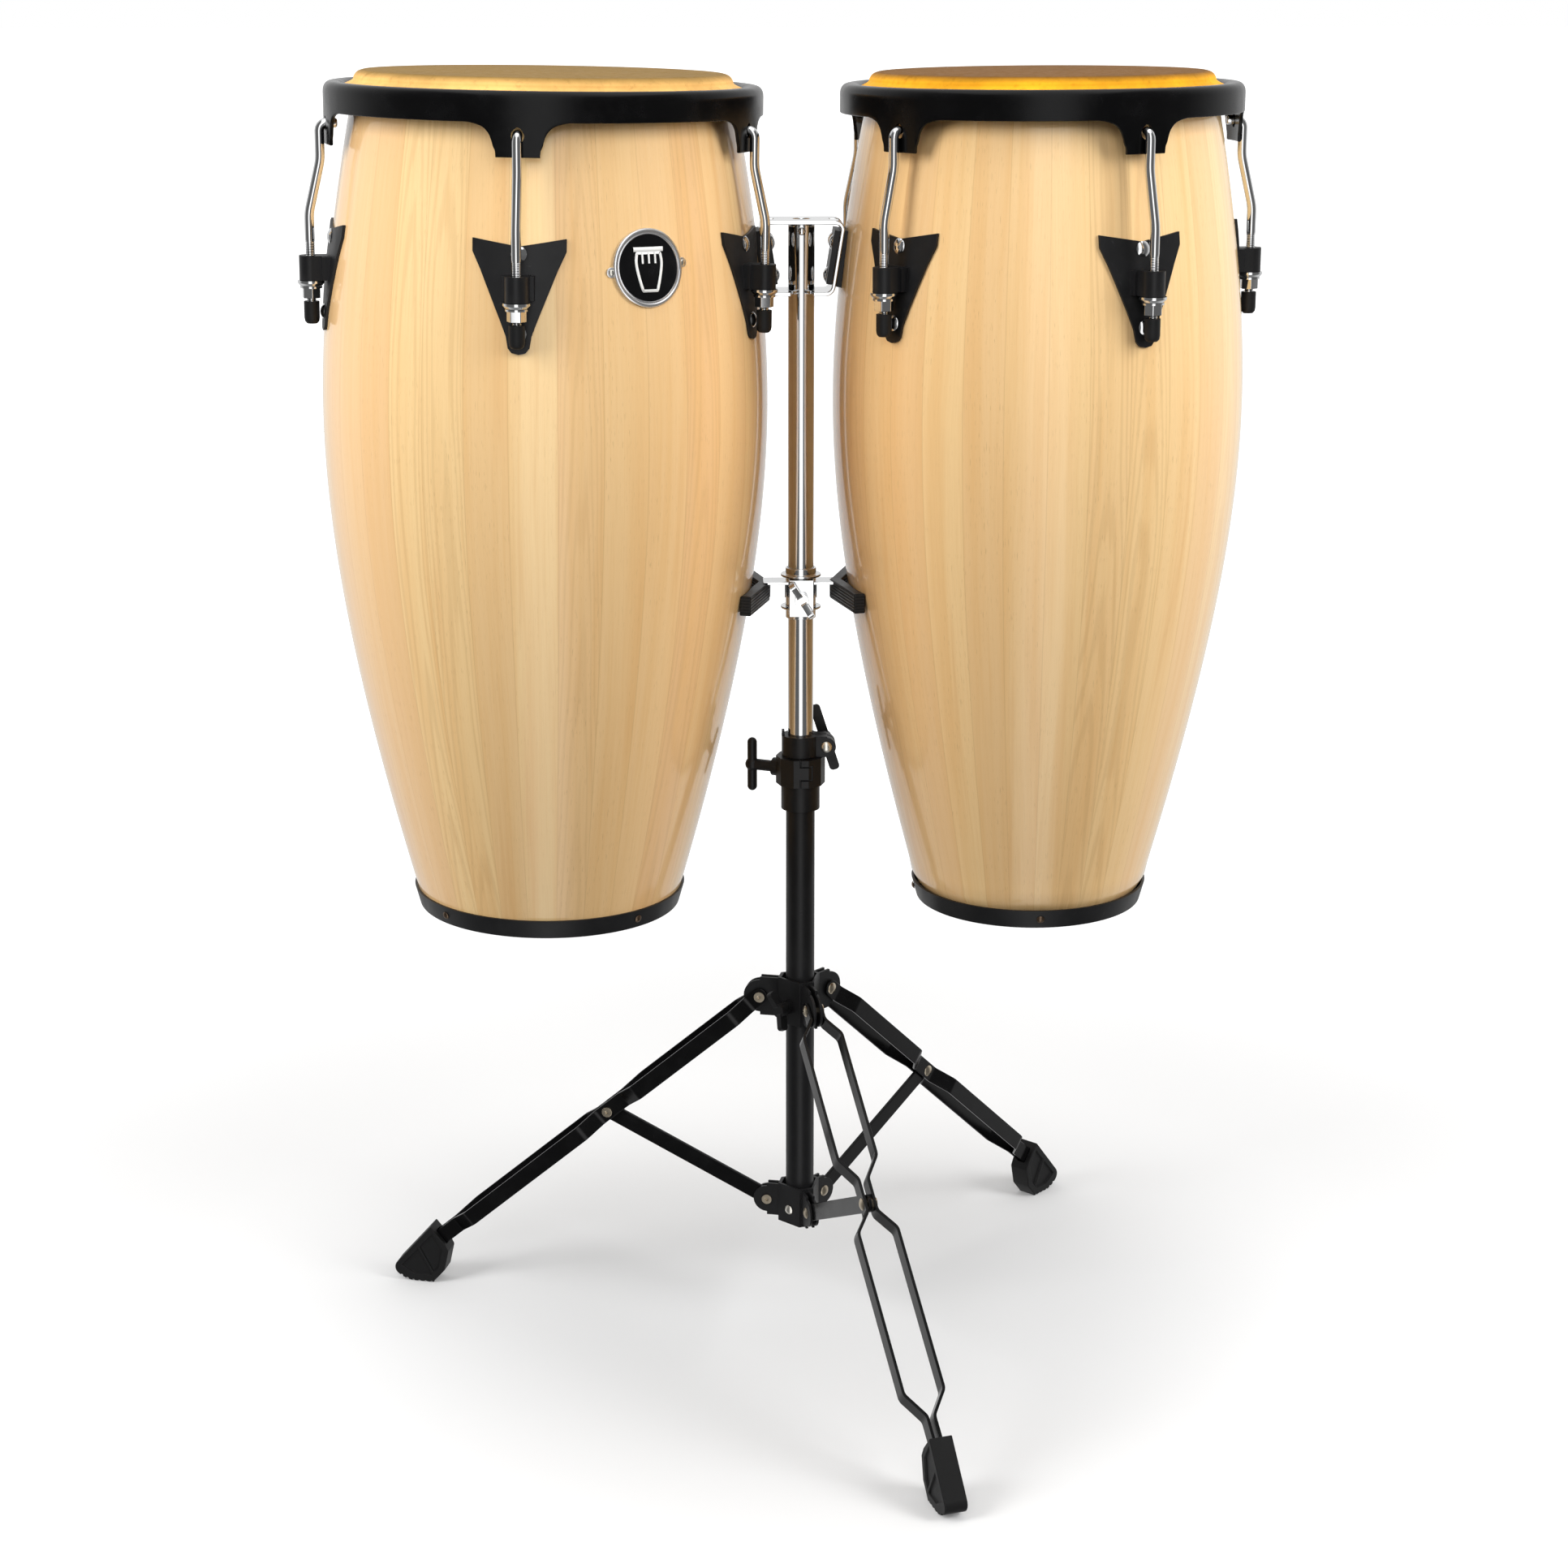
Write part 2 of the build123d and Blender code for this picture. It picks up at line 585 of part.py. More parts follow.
def make_memory_lock():
    """Split ring on the upper tube with two ears to its right."""
    low, high = LOCK_LOW, LOCK_HIGH
    middle = (low + high) / 2
    body = ring(16.5, 9, low, high)
    ears = Pos(16, -0.5, middle) * Box(14, 19, high - low)
    ears += rod(8.4, (LOCK_SCREW[0], -10, LOCK_SCREW[1]), (LOCK_SCREW[0], 9, LOCK_SCREW[1]))
    body += ears
    body += Pos(-15.2, 0, high + 1.5) * Box(2.4, 8, 5)
    body -= Pos(0, 0, middle) * Cylinder(UPPER_TUBE_R + 0.08, 100)
    body -= Pos(25, 0, middle) * Box(30, 2.2, 60)
    body -= rod(3.0 + RUN, (LOCK_SCREW[0], -30, LOCK_SCREW[1]), (LOCK_SCREW[0], 30, LOCK_SCREW[1]))
    return body


def make_lock_screw():
    """Round-head bolt through the memory lock's ears."""
    x, z = LOCK_SCREW
    face = Plane(origin=(x, -10.15, z), x_dir=(1, 0, 0), z_dir=(0, -1, 0))
    return face * (dome(5.1, 2.6) + Pos(0, 0, -19.5) * Cylinder(3.0, 39.0))


def make_lock_nut():
    """Wing nut behind the memory lock's ears."""
    x, z = LOCK_SCREW
    boss = rod(6.0, (x, 9.4, z), (x, 27.0, z))
    outline = Pos(x, z) * Rot(0, 0, 18) * RectangleRounded(9, 62, 3.5)
    blade = Pos(0, 24.5, 0) * extrude(Plane.XZ * outline, 1.7, both=True)
    return boss + blade - rod(3.0 + RUN, (x, 0, z), (x, 40, z))


def make_height_clamp():
    """Clamp on the lower tube's top: round sleeve, faceted body, interlocking seam, bolt boss."""
    body = ring(17.0, LOWER_TUBE_R + FIT, CLAMP_LOW, CLAMP_SPLIT + 1)
    block = Pos(0, 0, CLAMP_SPLIT) * extrude(RegularPolygon(20.6, 10, major_radius=False), CLAMP_TOP - CLAMP_SPLIT)
    body += block - Cylinder(14.2, 3000)
    body -= Pos(0, 0, LOWER_TUBE_TOP + 0.3) * Cylinder(14.2, 200, align=(Align.CENTER, Align.CENTER, Align.MIN))
    body += turned(rod(8.0, (0, -17.5, T_BOLT_HEIGHT), (0, -26, T_BOLT_HEIGHT)), T_BOLT_AZIMUTH)
    body -= turned(rod(4.0 + RUN, (0, -5, T_BOLT_HEIGHT), (0, -40, T_BOLT_HEIGHT)), T_BOLT_AZIMUTH)
    seam = [(-0.6, CLAMP_TOP + 1, CLAMP_TOP - 6), (9.6, CLAMP_TOP - 6, CLAMP_TOP - 18)]
    seam += [(-0.6, CLAMP_TOP - 18, CLAMP_SPLIT - 1)]
    for x, high, low in seam:
        body -= Pos(x, -20, (high + low) / 2) * Box(1.1, 4, high - low)
    for z in (CLAMP_TOP - 6, CLAMP_TOP - 18):
        body -= Pos(4.5, -20, z) * Box(11.3, 4, 1.1)
    return body


def make_bushing():
    """Nylon bushing between the tubes, inside the clamp."""
    return ring(14.1, UPPER_TUBE_R + 0.07, LOWER_TUBE_TOP + 0.5, CLAMP_TOP - 0.6)


def make_t_bolt():
    """Clamping bolt with a round cross bar."""
    z = T_BOLT_HEIGHT
    stem = rod(4.0, (0, -14.6, z), (0, -46, z)) + rod(5.0, (0, -26.4, z), (0, -46, z))
    stem += Pos(0, -46, z) * Sphere(6.2)
    bar = rod(4.3, (0, -46, z - 20), (0, -46, z + 20))
    ends = [Pos(0, -46, z + side * 20) * Sphere(4.3) for side in (-1, 1)]
    return turned(stem + bar + ends[0] + ends[1], T_BOLT_AZIMUTH)


def make_lower_tube():
    """Black tube between the clamp and the hub."""
    return ring(LOWER_TUBE_R, LOWER_TUBE_BORE, LOWER_TUBE_BOTTOM, LOWER_TUBE_TOP)


# ---------------------------------------------------------------- folding tripod
CORNER_SPREAD = 20.0         # half the angle of the wall that carries a pair of ears


def wrapped_sheet(low, high, inner, steel):
    """Sheet wrapped round the tube: three long walls and, at each leg, a short one."""
    def outline(apothem):
        reach = apothem / cos(radians(60 - CORNER_SPREAD))
        corners = []
        for azimuth in sorted(LEG_AZIMUTHS.values()):
            for step in (-CORNER_SPREAD, CORNER_SPREAD):
                angle = radians(azimuth + step)
                corners.append((reach * sin(angle), -reach * cos(angle)))
        return make_face(Polyline(*corners, close=True))

    band = extrude(outline(inner + steel), high - low) - extrude(outline(inner), high - low)
    return Pos(0, 0, low) * band


def ear_pair(low, high, pivot, start):
    """Two plates that stand out at the front on either side of a leg's middle plane."""
    radius, height = pivot
    plates = None
    tip = (high - low) / 2 - 4.0
    for side in (-1, 1):
        x = side * EAR_OFFSET
        plate = Pos(x, -(start + radius) / 2, (low + high) / 2) * Box(EAR_THICK, radius - start, high - low)
        nose = rod(tip, (x - EAR_THICK / 2, -radius, height), (x + EAR_THICK / 2, -radius, height))
        neck = Pos(x, -radius + 4, height) * Box(EAR_THICK, 8, 2 * tip)
        plate = (plate & Pos(x, -(start + radius) / 2, height) * Box(9, radius - start, 2 * tip + 6)) + nose + neck
        plates = plate if plates is None else plates + plate
    return plates - rod(RIVET_R + FIT, (-20, -radius, height), (20, -radius, height))


def make_collar():
    """Sliding collar: wrapped sheet, a pair of ears for each leg and the wing screw's boss."""
    low, high = 289.0, 331.0
    body = wrapped_sheet(low, high, LOWER_TUBE_R + 0.25, 2.5)
    for azimuth in LEG_AZIMUTHS.values():
        body += turned(ear_pair(low + 2, high - 2, COLLAR_PIVOT, 17.6), azimuth)
    azimuth = LEG_AZIMUTHS["left"] + 60
    body += turned(rod(6.5, (0, -15.0, 306), (0, -22, 306)), azimuth)
    body -= turned(rod(3.0 + RUN, (0, 0, 306), (0, -30, 306)), azimuth)
    return body


def make_collar_screw():
    """Wing screw that grips the collar on the tube."""
    head = Rot(0, 0, -65) * wing_head(36, 6.5, 5.5)
    shank = Pos(0, 0, -4.5) * Cylinder(3.0, 9.2)
    return turned(facing(22.4, 306) * (head + shank), LEG_AZIMUTHS["left"] + 60)


def make_hub():
    """Fixed hub at the tube's foot with a pair of ears for each link."""
    low, high = 94.0, 131.0
    body = wrapped_sheet(low, high, LOWER_TUBE_R + FIT, 2.5)
    for azimuth in LEG_AZIMUTHS.values():
        body += turned(ear_pair(low + 2, high - 2, HUB_PIVOT, 17.4), azimuth)
    azimuth = LEG_AZIMUTHS["left"] + 60
    return body - turned(rod(2.5 + FIT, (0, 0, 108), (0, -30, 108)), azimuth)


def make_hub_screw():
    """Pan-head screw through the hub into the tube."""
    surface = LOWER_TUBE_R + FIT + 2.5
    face = facing(surface + 0.1, 108)
    screw = face * (dome(4.6, 2.4) + Pos(0, 0, -1.2) * Cylinder(2.5, 2.4))
    return turned(screw, LEG_AZIMUTHS["left"] + 60)


def rolled_end(radius):
    """Hollow rolled end of a rivet, standing on the XY plane."""
    return Pos(0, 0, 0.8) * (Cylinder(radius, 1.6) - Cylinder(1.6, 4))


def pivot_rivet(pivot, half, swell):
    """Rivet across a leg's plane: a domed head at one end and a rolled collar at the other."""
    radius, height = pivot
    pin = rod(RIVET_R, (-half, -radius, height), (half, -radius, height))
    left = Plane(origin=(-half, -radius, height), z_dir=(-1, 0, 0)) * dome(swell, 2.2)
    right = Plane(origin=(half, -radius, height), z_dir=(1, 0, 0))
    return pin + left + right * rolled_end(swell - 0.6)


def make_collar_rivets():
    """Three rivets that hold the legs on the collar's ears."""
    half = EAR_OFFSET + EAR_THICK / 2 + GAP + STRAP_THICK + 0.1
    return solids_of(*[turned(pivot_rivet(COLLAR_PIVOT, half, 5.4), a) for a in LEG_AZIMUTHS.values()])


def make_hub_rivets():
    """Three rivets that hold the links between the hub's ears."""
    half = EAR_OFFSET + EAR_THICK / 2 + 0.1
    return solids_of(*[turned(pivot_rivet(HUB_PIVOT, half, 5.2), a) for a in LEG_AZIMUTHS.values()])


def leg_frame():
    """Unit directions of a leg at the front: along it, and square to it in its own plane."""
    fall = COLLAR_PIVOT[1] - MID_PIVOT[1]
    reach = MID_PIVOT[0] - COLLAR_PIVOT[0]
    length = hypot(fall, reach)
    return Vector(0, -reach / length, -fall / length), Vector(0, -fall / length, reach / length)


def on_leg(along, across):
    """A point of the front leg: distance along it from the collar pivot, distance across."""
    direction, _ = leg_frame()
    start = Vector(0, -COLLAR_PIVOT[0], COLLAR_PIVOT[1])
    return start + direction * along + Vector(across, 0, 0)


LEG_PINCH = EAR_OFFSET + EAR_THICK / 2 + GAP + STRAP_THICK / 2
LEG_BULGE = 17.7
MID_PINCH = 4.3
FOOT_PINCH = 3.2
STRAP_BEND = 9.0              # radius of a strap's bends, at mid thickness


def beside(route, distance):
    """Corner points of a line that runs beside a route, to its left, and the radii of its corners."""
    points, radii = [], []
    for i, (x, y) in enumerate(route):
        before = Vector(x - route[i - 1][0], y - route[i - 1][1]).normalized() if i else None
        after = Vector(route[i + 1][0] - x, route[i + 1][1] - y).normalized() if i + 1 < len(route) else None
        first, last = before or after, after or before
        share = distance / (1 + first.dot(last))
        points.append((x - share * (first.Y + last.Y), y + share * (first.X + last.X)))
        if before and after:
            left_turn = first.X * last.Y - first.Y * last.X > 0
            radii.append(STRAP_BEND - distance if left_turn else STRAP_BEND + distance)
    return points, radii


def strap_outline(route):
    """Face of a strap seen on its edge: the route, half a thickness to either side."""
    lines, ends = [], []
    for side in (-1, 1):
        points, radii = beside(route, side * STRAP_THICK / 2)
        lines.append(FilletPolyline(*points, radius=radii))
        ends.append((points[0], points[-1]))
    caps = Line(ends[0][0], ends[1][0]) + Line(ends[0][1], ends[1][1])
    return make_face(lines[0] + lines[1] + caps)


def make_leg():
    """Two flat straps that spread apart between the rivets and close up at them."""
    mid = hypot(MID_PIVOT[0] - COLLAR_PIVOT[0], COLLAR_PIVOT[1] - MID_PIVOT[1])
    direction, square = leg_frame()
    route = [(-8, LEG_PINCH), (13, LEG_PINCH), (29, LEG_BULGE), (mid - 41, LEG_BULGE), (mid - 21, MID_PINCH)]
    route += [(mid + 10, MID_PINCH), (mid + 28, LEG_BULGE), (LEG_END - 68, LEG_BULGE)]
    route += [(LEG_END - 47, FOOT_PINCH), (LEG_END, FOOT_PINCH)]
    on_edge = Plane(origin=on_leg(0, 0), x_dir=direction, z_dir=square)
    straps = []
    for side in (-1, 1):
        outline = strap_outline([(along, side * across) for along, across in route])
        strap = on_edge * extrude(outline, STRAP_WIDE / 2, both=True)
        corners = on_edge * Pos(-STRAP_WIDE / 2, 0, 0) * Box(STRAP_WIDE, 60, 2 * STRAP_WIDE)
        strap -= corners - rod(STRAP_WIDE / 2, on_leg(0, -40), on_leg(0, 40))
        strap -= rod(RIVET_R + RUN, on_leg(0, -30), on_leg(0, 30))
        strap -= rod(RIVET_R + FIT, on_leg(mid, -30), on_leg(mid, 30))
        straps.append(strap)
    return solids_of(*straps)


def make_mid_rivet():
    """Rivet of leg and link. Its shank stops short of the link on either side."""
    mid = hypot(MID_PIVOT[0] - COLLAR_PIVOT[0], COLLAR_PIVOT[1] - MID_PIVOT[1])
    near, far = LINK_THICK / 2 + GAP, MID_PINCH + STRAP_THICK / 2 + 0.1
    halves = []
    for side in (-1, 1):
        shank = rod(RIVET_R, on_leg(mid, side * near), on_leg(mid, side * far))
        seat = Plane(origin=on_leg(mid, side * far), z_dir=(side, 0, 0))
        head = dome(5.4, 2.2) if side < 0 else rolled_end(4.8)
        spacer = rod(5.0, on_leg(mid, side * near), on_leg(mid, side * (MID_PINCH - STRAP_THICK / 2 - 0.05)))
        halves.append(shank + seat * head + spacer)
    return solids_of(*halves)


def make_link():
    """Flat strap from the hub to the middle of a leg."""
    (r0, z0), (r1, z1) = HUB_PIVOT, MID_PIVOT
    span = hypot(r1 - r0, z1 - z0)
    middle = (0, -(r0 + r1) / 2, (z0 + z1) / 2)
    plane = Plane(origin=middle, x_dir=(0, r0 - r1, z1 - z0), z_dir=(1, 0, 0))
    flat = SlotCenterToCenter(span, 15.4) - Pos(span / 2, 0) * Circle(RIVET_R + RUN)
    flat -= Pos(-span / 2, 0) * Circle(RIVET_R + RUN)
    return plane * extrude(flat, LINK_THICK / 2, both=True)


FOOT_HALF = 10.0


def foot_outline():
    """Side of a rubber foot, as (radius from the tube's axis, height)."""
    sole = ThreePointArc((388.0, 6.6), (379.5, 1.6), (368.0, 0.0))
    rest = Polyline((368, 0), (353, 0), (341.5, 13), (337, 33), (341, 41.5), (354, 57), (388.6, 17.5))
    toe = ThreePointArc((388.6, 17.5), (390.5, 12.4), (388.0, 6.6))
    return make_face(sole + rest + toe)


def make_foot():
    """Wedge of rubber with a curved ribbed sole, recessed sides and a pocket for the leg."""
    side_on = Plane(origin=(0, 0, 0), x_dir=(0, -1, 0), z_dir=(-1, 0, 0))
    body = side_on * extrude(foot_outline(), FOOT_HALF, both=True)
    recess = make_face(Polyline((353, 49), (383.5, 15.0), (371, 7.4), (355, 7.4), (347.5, 16), (344, 34), close=True))
    rib = Pos(361.5, 25) * Rot(0, 0, 62) * Rectangle(60, 3.2)
    for side in (-1, 1):
        pocket = side_on * Pos(0, 0, side * (FOOT_HALF - 0.9)) * extrude(recess - rib, 0.95, both=True)
        body -= pocket
    for radius, height in ((384.4, 3.9), (378.8, 1.2), (372.8, 0.0), (366.8, -0.4), (360.8, -0.4), (354.8, -0.4)):
        body -= rod(1.3, (-20, -radius, height), (20, -radius, height))
    direction, square = leg_frame()
    slot_plane = Plane(origin=on_leg(LEG_END - 40, 0), x_dir=square, z_dir=direction)
    half = FOOT_PINCH + STRAP_THICK / 2 + FIT
    body -= slot_plane * extrude(Rectangle(STRAP_WIDE + 2 * FIT, 2 * half), 40 + FIT)
    return body


def make_stand():
    """All the pieces of the stand."""
    NODES["top_bracket"] = make_bracket()
    NODES["bracket_screw"] = make_bracket_screw()
    NODES["upper_tube"] = make_upper_tube()
    NODES["brace"] = make_brace()
    NODES["brace_pads"] = make_pads()
    NODES["brace_wing_screw"] = make_brace_screw()
    NODES["memory_lock"] = make_memory_lock()
    NODES["memory_lock_bolt"] = make_lock_screw()
    NODES["memory_lock_wing_nut"] = make_lock_nut()
    NODES["height_clamp"] = make_height_clamp()
    NODES["height_bushing"] = make_bushing()
    NODES["height_t_bolt"] = make_t_bolt()
    NODES["lower_tube"] = make_lower_tube()
    NODES["leg_collar"] = make_collar()
    NODES["collar_rivets"] = make_collar_rivets()
    NODES["collar_wing_screw"] = make_collar_screw()
    NODES["tube_hub"] = make_hub()
    NODES["hub_rivets"] = make_hub_rivets()
    NODES["hub_screw"] = make_hub_screw()
    leg, link, rivet, foot = make_leg(), make_link(), make_mid_rivet(), make_foot()
    for name, azimuth in LEG_AZIMUTHS.items():
        NODES[name + "_leg"] = turned(leg, azimuth)
        NODES[name + "_link"] = turned(link, azimuth)
        NODES[name + "_mid_rivet"] = turned(rivet, azimuth)
        NODES[name + "_foot"] = turned(foot, azimuth)


for drum_name, drum_spec in DRUMS.items():
    make_drum(drum_name, drum_spec)
NODES["left_badge"] = place(DRUMS["left"], make_badge(DRUMS["left"]))
NODES["ring_screws"] = solids_of(
    *[place(drum, screw) for drum in DRUMS.values() for screw in make_ring_screws(drum, False)]
)
NODES["mount_bolts"] = solids_of(*[make_mount_bolts(drum) for drum in DRUMS.values()])
make_stand()
for node_name, node_shape in NODES.items():
    export_step(solids_of(node_shape), f"parts/{node_name}.step")
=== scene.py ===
"""Looks of a pair of conga drums on a folding double stand."""
import bpy
import bmesh
import json
from math import asin, atan2, cos, hypot, pi, radians, sin, tan
from random import Random
from mathutils import Matrix, Vector

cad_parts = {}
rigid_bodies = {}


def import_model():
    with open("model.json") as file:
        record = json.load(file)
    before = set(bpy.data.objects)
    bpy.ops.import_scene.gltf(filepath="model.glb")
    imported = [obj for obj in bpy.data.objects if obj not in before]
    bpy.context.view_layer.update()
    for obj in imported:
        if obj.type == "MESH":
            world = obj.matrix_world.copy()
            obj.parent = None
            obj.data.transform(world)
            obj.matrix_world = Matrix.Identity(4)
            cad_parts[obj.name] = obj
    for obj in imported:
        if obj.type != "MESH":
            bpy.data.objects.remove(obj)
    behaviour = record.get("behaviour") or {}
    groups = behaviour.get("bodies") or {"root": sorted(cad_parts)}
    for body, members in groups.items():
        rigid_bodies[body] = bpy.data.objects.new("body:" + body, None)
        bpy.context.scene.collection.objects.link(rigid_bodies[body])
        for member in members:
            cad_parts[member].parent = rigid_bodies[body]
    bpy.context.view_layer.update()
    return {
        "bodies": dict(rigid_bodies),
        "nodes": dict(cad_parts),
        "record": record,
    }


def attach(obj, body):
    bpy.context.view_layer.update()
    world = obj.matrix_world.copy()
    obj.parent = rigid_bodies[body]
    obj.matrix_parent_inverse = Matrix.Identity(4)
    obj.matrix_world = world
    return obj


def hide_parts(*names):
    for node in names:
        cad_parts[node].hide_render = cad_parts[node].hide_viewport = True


for left_over in list(bpy.data.objects):
    bpy.data.objects.remove(left_over)

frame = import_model()

MM = 0.001
DRUM_HEIGHT = 711.0 * MM
DRUMS = ("left", "right")
WELD = 2e-6                  # vertices of the frame closer than this are one
FLAT = 0.5                   # faces that meet at less than this angle, in degrees, are one
CORNER = 30.0                # edges at more than this angle, in degrees, are rounded


# ---------------------------------------------------------------- reading the frame
def mount(name):
    """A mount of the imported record."""
    return next(row for row in frame["record"]["mounts"] if row["name"] == name)


def drum_matrix(name):
    """A drum's own frame: origin in the middle of its foot, Z along its axis."""
    face = mount(name + "_playing_face")
    axis = Vector(face["axis"]).normalized()
    foot = Vector(face["pos_m"]) - DRUM_HEIGHT * axis
    return Matrix.Translation(foot) @ Matrix.Rotation(atan2(axis.x, axis.z), 4, "Y")


def cad_points(node, inverse=Matrix.Identity(4)):
    """A node's vertices, in a frame of their own."""
    return [inverse @ vertex.co for vertex in frame["nodes"][node].data.vertices]


def islands(node):
    """The separate solids of a node, as lists of points."""
    mesh = bmesh.new()
    mesh.from_mesh(frame["nodes"][node].data)
    bmesh.ops.remove_doubles(mesh, verts=mesh.verts, dist=WELD)
    seen = set()
    groups = []
    for start in mesh.verts:
        if start in seen:
            continue
        seen.add(start)
        group = []
        queue = [start]
        while queue:
            vertex = queue.pop()
            group.append(vertex.co.copy())
            for edge in vertex.link_edges:
                other = edge.other_vert(vertex)
                if other not in seen:
                    seen.add(other)
                    queue.append(other)
        groups.append(group)
    mesh.free()
    return groups


def middle(points):
    """Middle of the box round some points."""
    low = Vector(min(p[i] for p in points) for i in range(3))
    high = Vector(max(p[i] for p in points) for i in range(3))
    return (low + high) / 2


def azimuth_of(point):
    """Azimuth from the front (-Y) towards +X."""
    return atan2(point.x, -point.y)


def outer_profile(points, high):
    """(height, radius) of a shell's outer surface: the CAD vertices on the bulging side."""
    rows = sorted((p.z, hypot(p.x, p.y)) for p in points if p.z < high)
    hull = []
    for z, r in rows:
        while len(hull) > 1:
            (z0, r0), (z1, r1) = hull[-2:]
            if (z1 - z0) * (r - r0) < (z - z0) * (r1 - r0):
                break
            hull.pop()
        hull.append((z, r))
    spread = [hull[0]]
    for row in hull[1:]:
        if row[0] - spread[-1][0] > 8 * MM:
            spread.append(row)
    return spread


def along(profile, z):
    """Radius at a height, on a smooth curve through the profile's points."""
    for i in range(len(profile) - 1):
        if z <= profile[i + 1][0] or i == len(profile) - 2:
            break
    (z0, r0), (z1, r1) = profile[i], profile[i + 1]
    before = profile[max(i - 1, 0)]
    after = profile[min(i + 2, len(profile) - 1)]
    slope0 = (r1 - before[1]) / (z1 - before[0])
    slope1 = (after[1] - r0) / (after[0] - z0)
    t = (z - z0) / (z1 - z0)
    width = z1 - z0
    return (
        (2 * t**3 - 3 * t**2 + 1) * r0 + (t**3 - 2 * t**2 + t) * width * slope0
        + (3 * t**2 - 2 * t**3) * r1 + (t**3 - t**2) * width * slope1
    )


# ---------------------------------------------------------------- making pieces
def piece(name, mesh, body, material, nodes=(), place=None):
    """A new piece: in place, on its body, with its material and the nodes it stands for."""
    obj = bpy.data.objects.new(name, mesh)
    bpy.context.scene.collection.objects.link(obj)
    for one in material if isinstance(material, (list, tuple)) else [material]:
        mesh.materials.append(one)
    mesh.polygons.foreach_set("use_smooth", [True] * len(mesh.polygons))
    if place is not None:
        obj.matrix_world = place
    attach(obj, body)
    if nodes:
        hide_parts(*nodes)
    return obj


def mesh_of(build):
    """Turns a filled bmesh into a mesh."""
    mesh = bpy.data.meshes.new("piece")
    build.normal_update()
    build.to_mesh(mesh)
    build.free()
    return mesh


def sharpen(obj, angle=38.0):
    """Sharp edges where faces meet at a big angle, and flat faces that stay flat."""
    build = bmesh.new()
    build.from_mesh(obj.data)
    for edge in build.edges:
        edge.smooth = len(edge.link_faces) != 2 or edge.calc_face_angle(0) < radians(angle)
    build.to_mesh(obj.data)
    build.free()
    flat = obj.modifiers.new("flat faces", "WEIGHTED_NORMAL")
    flat.keep_sharp = True


def refined(node, material, width=0.3, steps=2):
    """A CAD node's shape with its edges rounded, standing for the node."""
    build = bmesh.new()
    build.from_mesh(frame["nodes"][node].data)
    bmesh.ops.remove_doubles(build, verts=build.verts, dist=WELD)
    bmesh.ops.dissolve_limit(build, angle_limit=radians(FLAT), verts=build.verts, edges=build.edges)
    sharp = [
        edge for edge in build.edges
        if len(edge.link_faces) == 2 and edge.calc_face_angle(0) > radians(CORNER)
    ]
    bmesh.ops.bevel(
        build, geom=sharp, offset=width * MM, segments=steps, profile=0.5, affect="EDGES",
        clamp_overlap=False,
    )
    obj = piece(node + "_finish", mesh_of(build), BODY_OF[node], material, [node])
    sharpen(obj)
    return obj


def lathe(profile, columns):
    """(radius, height) points turned about Z. A zero radius closes to one point."""
    build = bmesh.new()
    rings = []
    for radius, height in profile:
        if radius < 1e-7:
            rings.append([build.verts.new((0, 0, height))])
            continue
        ring = []
        for i in range(columns):
            angle = 2 * pi * i / columns
            ring.append(build.verts.new((radius * sin(angle), -radius * cos(angle), height)))
        rings.append(ring)
    for lower, upper in zip(rings, rings[1:]):
        for i in range(columns):
            k = (i + 1) % columns
            if len(lower) == 1:
                build.faces.new((lower[0], upper[k], upper[i]))
            elif len(upper) == 1:
                build.faces.new((lower[i], lower[k], upper[0]))
            else:
                build.faces.new((lower[i], lower[k], upper[k], upper[i]))
    bmesh.ops.recalc_face_normals(build, faces=build.faces)
    return build


def smooth_curve(points, steps):
    """Points on a Catmull-Rom curve through some points."""
    result = []
    for i in range(len(points) - 1):
        p0 = points[max(i - 1, 0)]
        p1, p2 = points[i], points[i + 1]
        p3 = points[min(i + 2, len(points) - 1)]
        for step in range(steps):
            t = step / steps
            result.append(tuple(
                0.5 * (2 * b + (c - a) * t + (2 * a - 5 * b + 4 * c - d) * t * t
                       + (3 * b - a - 3 * c + d) * t**3)
                for a, b, c, d in zip(p0, p1, p2, p3)
            ))
    result.append(tuple(points[-1]))
    return result


def filleted(points, radii, step):
    """A polyline in a plane with rounded corners, as points about a step apart."""
    points = [Vector(p) for p in points]
    line = [points[0]]
    for before, corner, after, radius in zip(points, points[1:], points[2:], radii):
        back = (before - corner).normalized()
        ahead = (after - corner).normalized()
        half = back.angle(ahead) / 2
        reach = radius / tan(half)
        start = corner + back * reach
        centre = corner + (back + ahead).normalized() * radius / sin(half)
        sweep = pi - 2 * half
        count = max(4, int(radius * sweep / step))
        first = start - centre
        turn = 1 if first.x * ahead.y - first.y * ahead.x > 0 else -1
        for i in range(count + 1):
            angle = turn * sweep * i / count
            line.append(centre + Vector((
                first.x * cos(angle) - first.y * sin(angle),
                first.x * sin(angle) + first.y * cos(angle),
            )))
    line.append(points[-1])
    return line


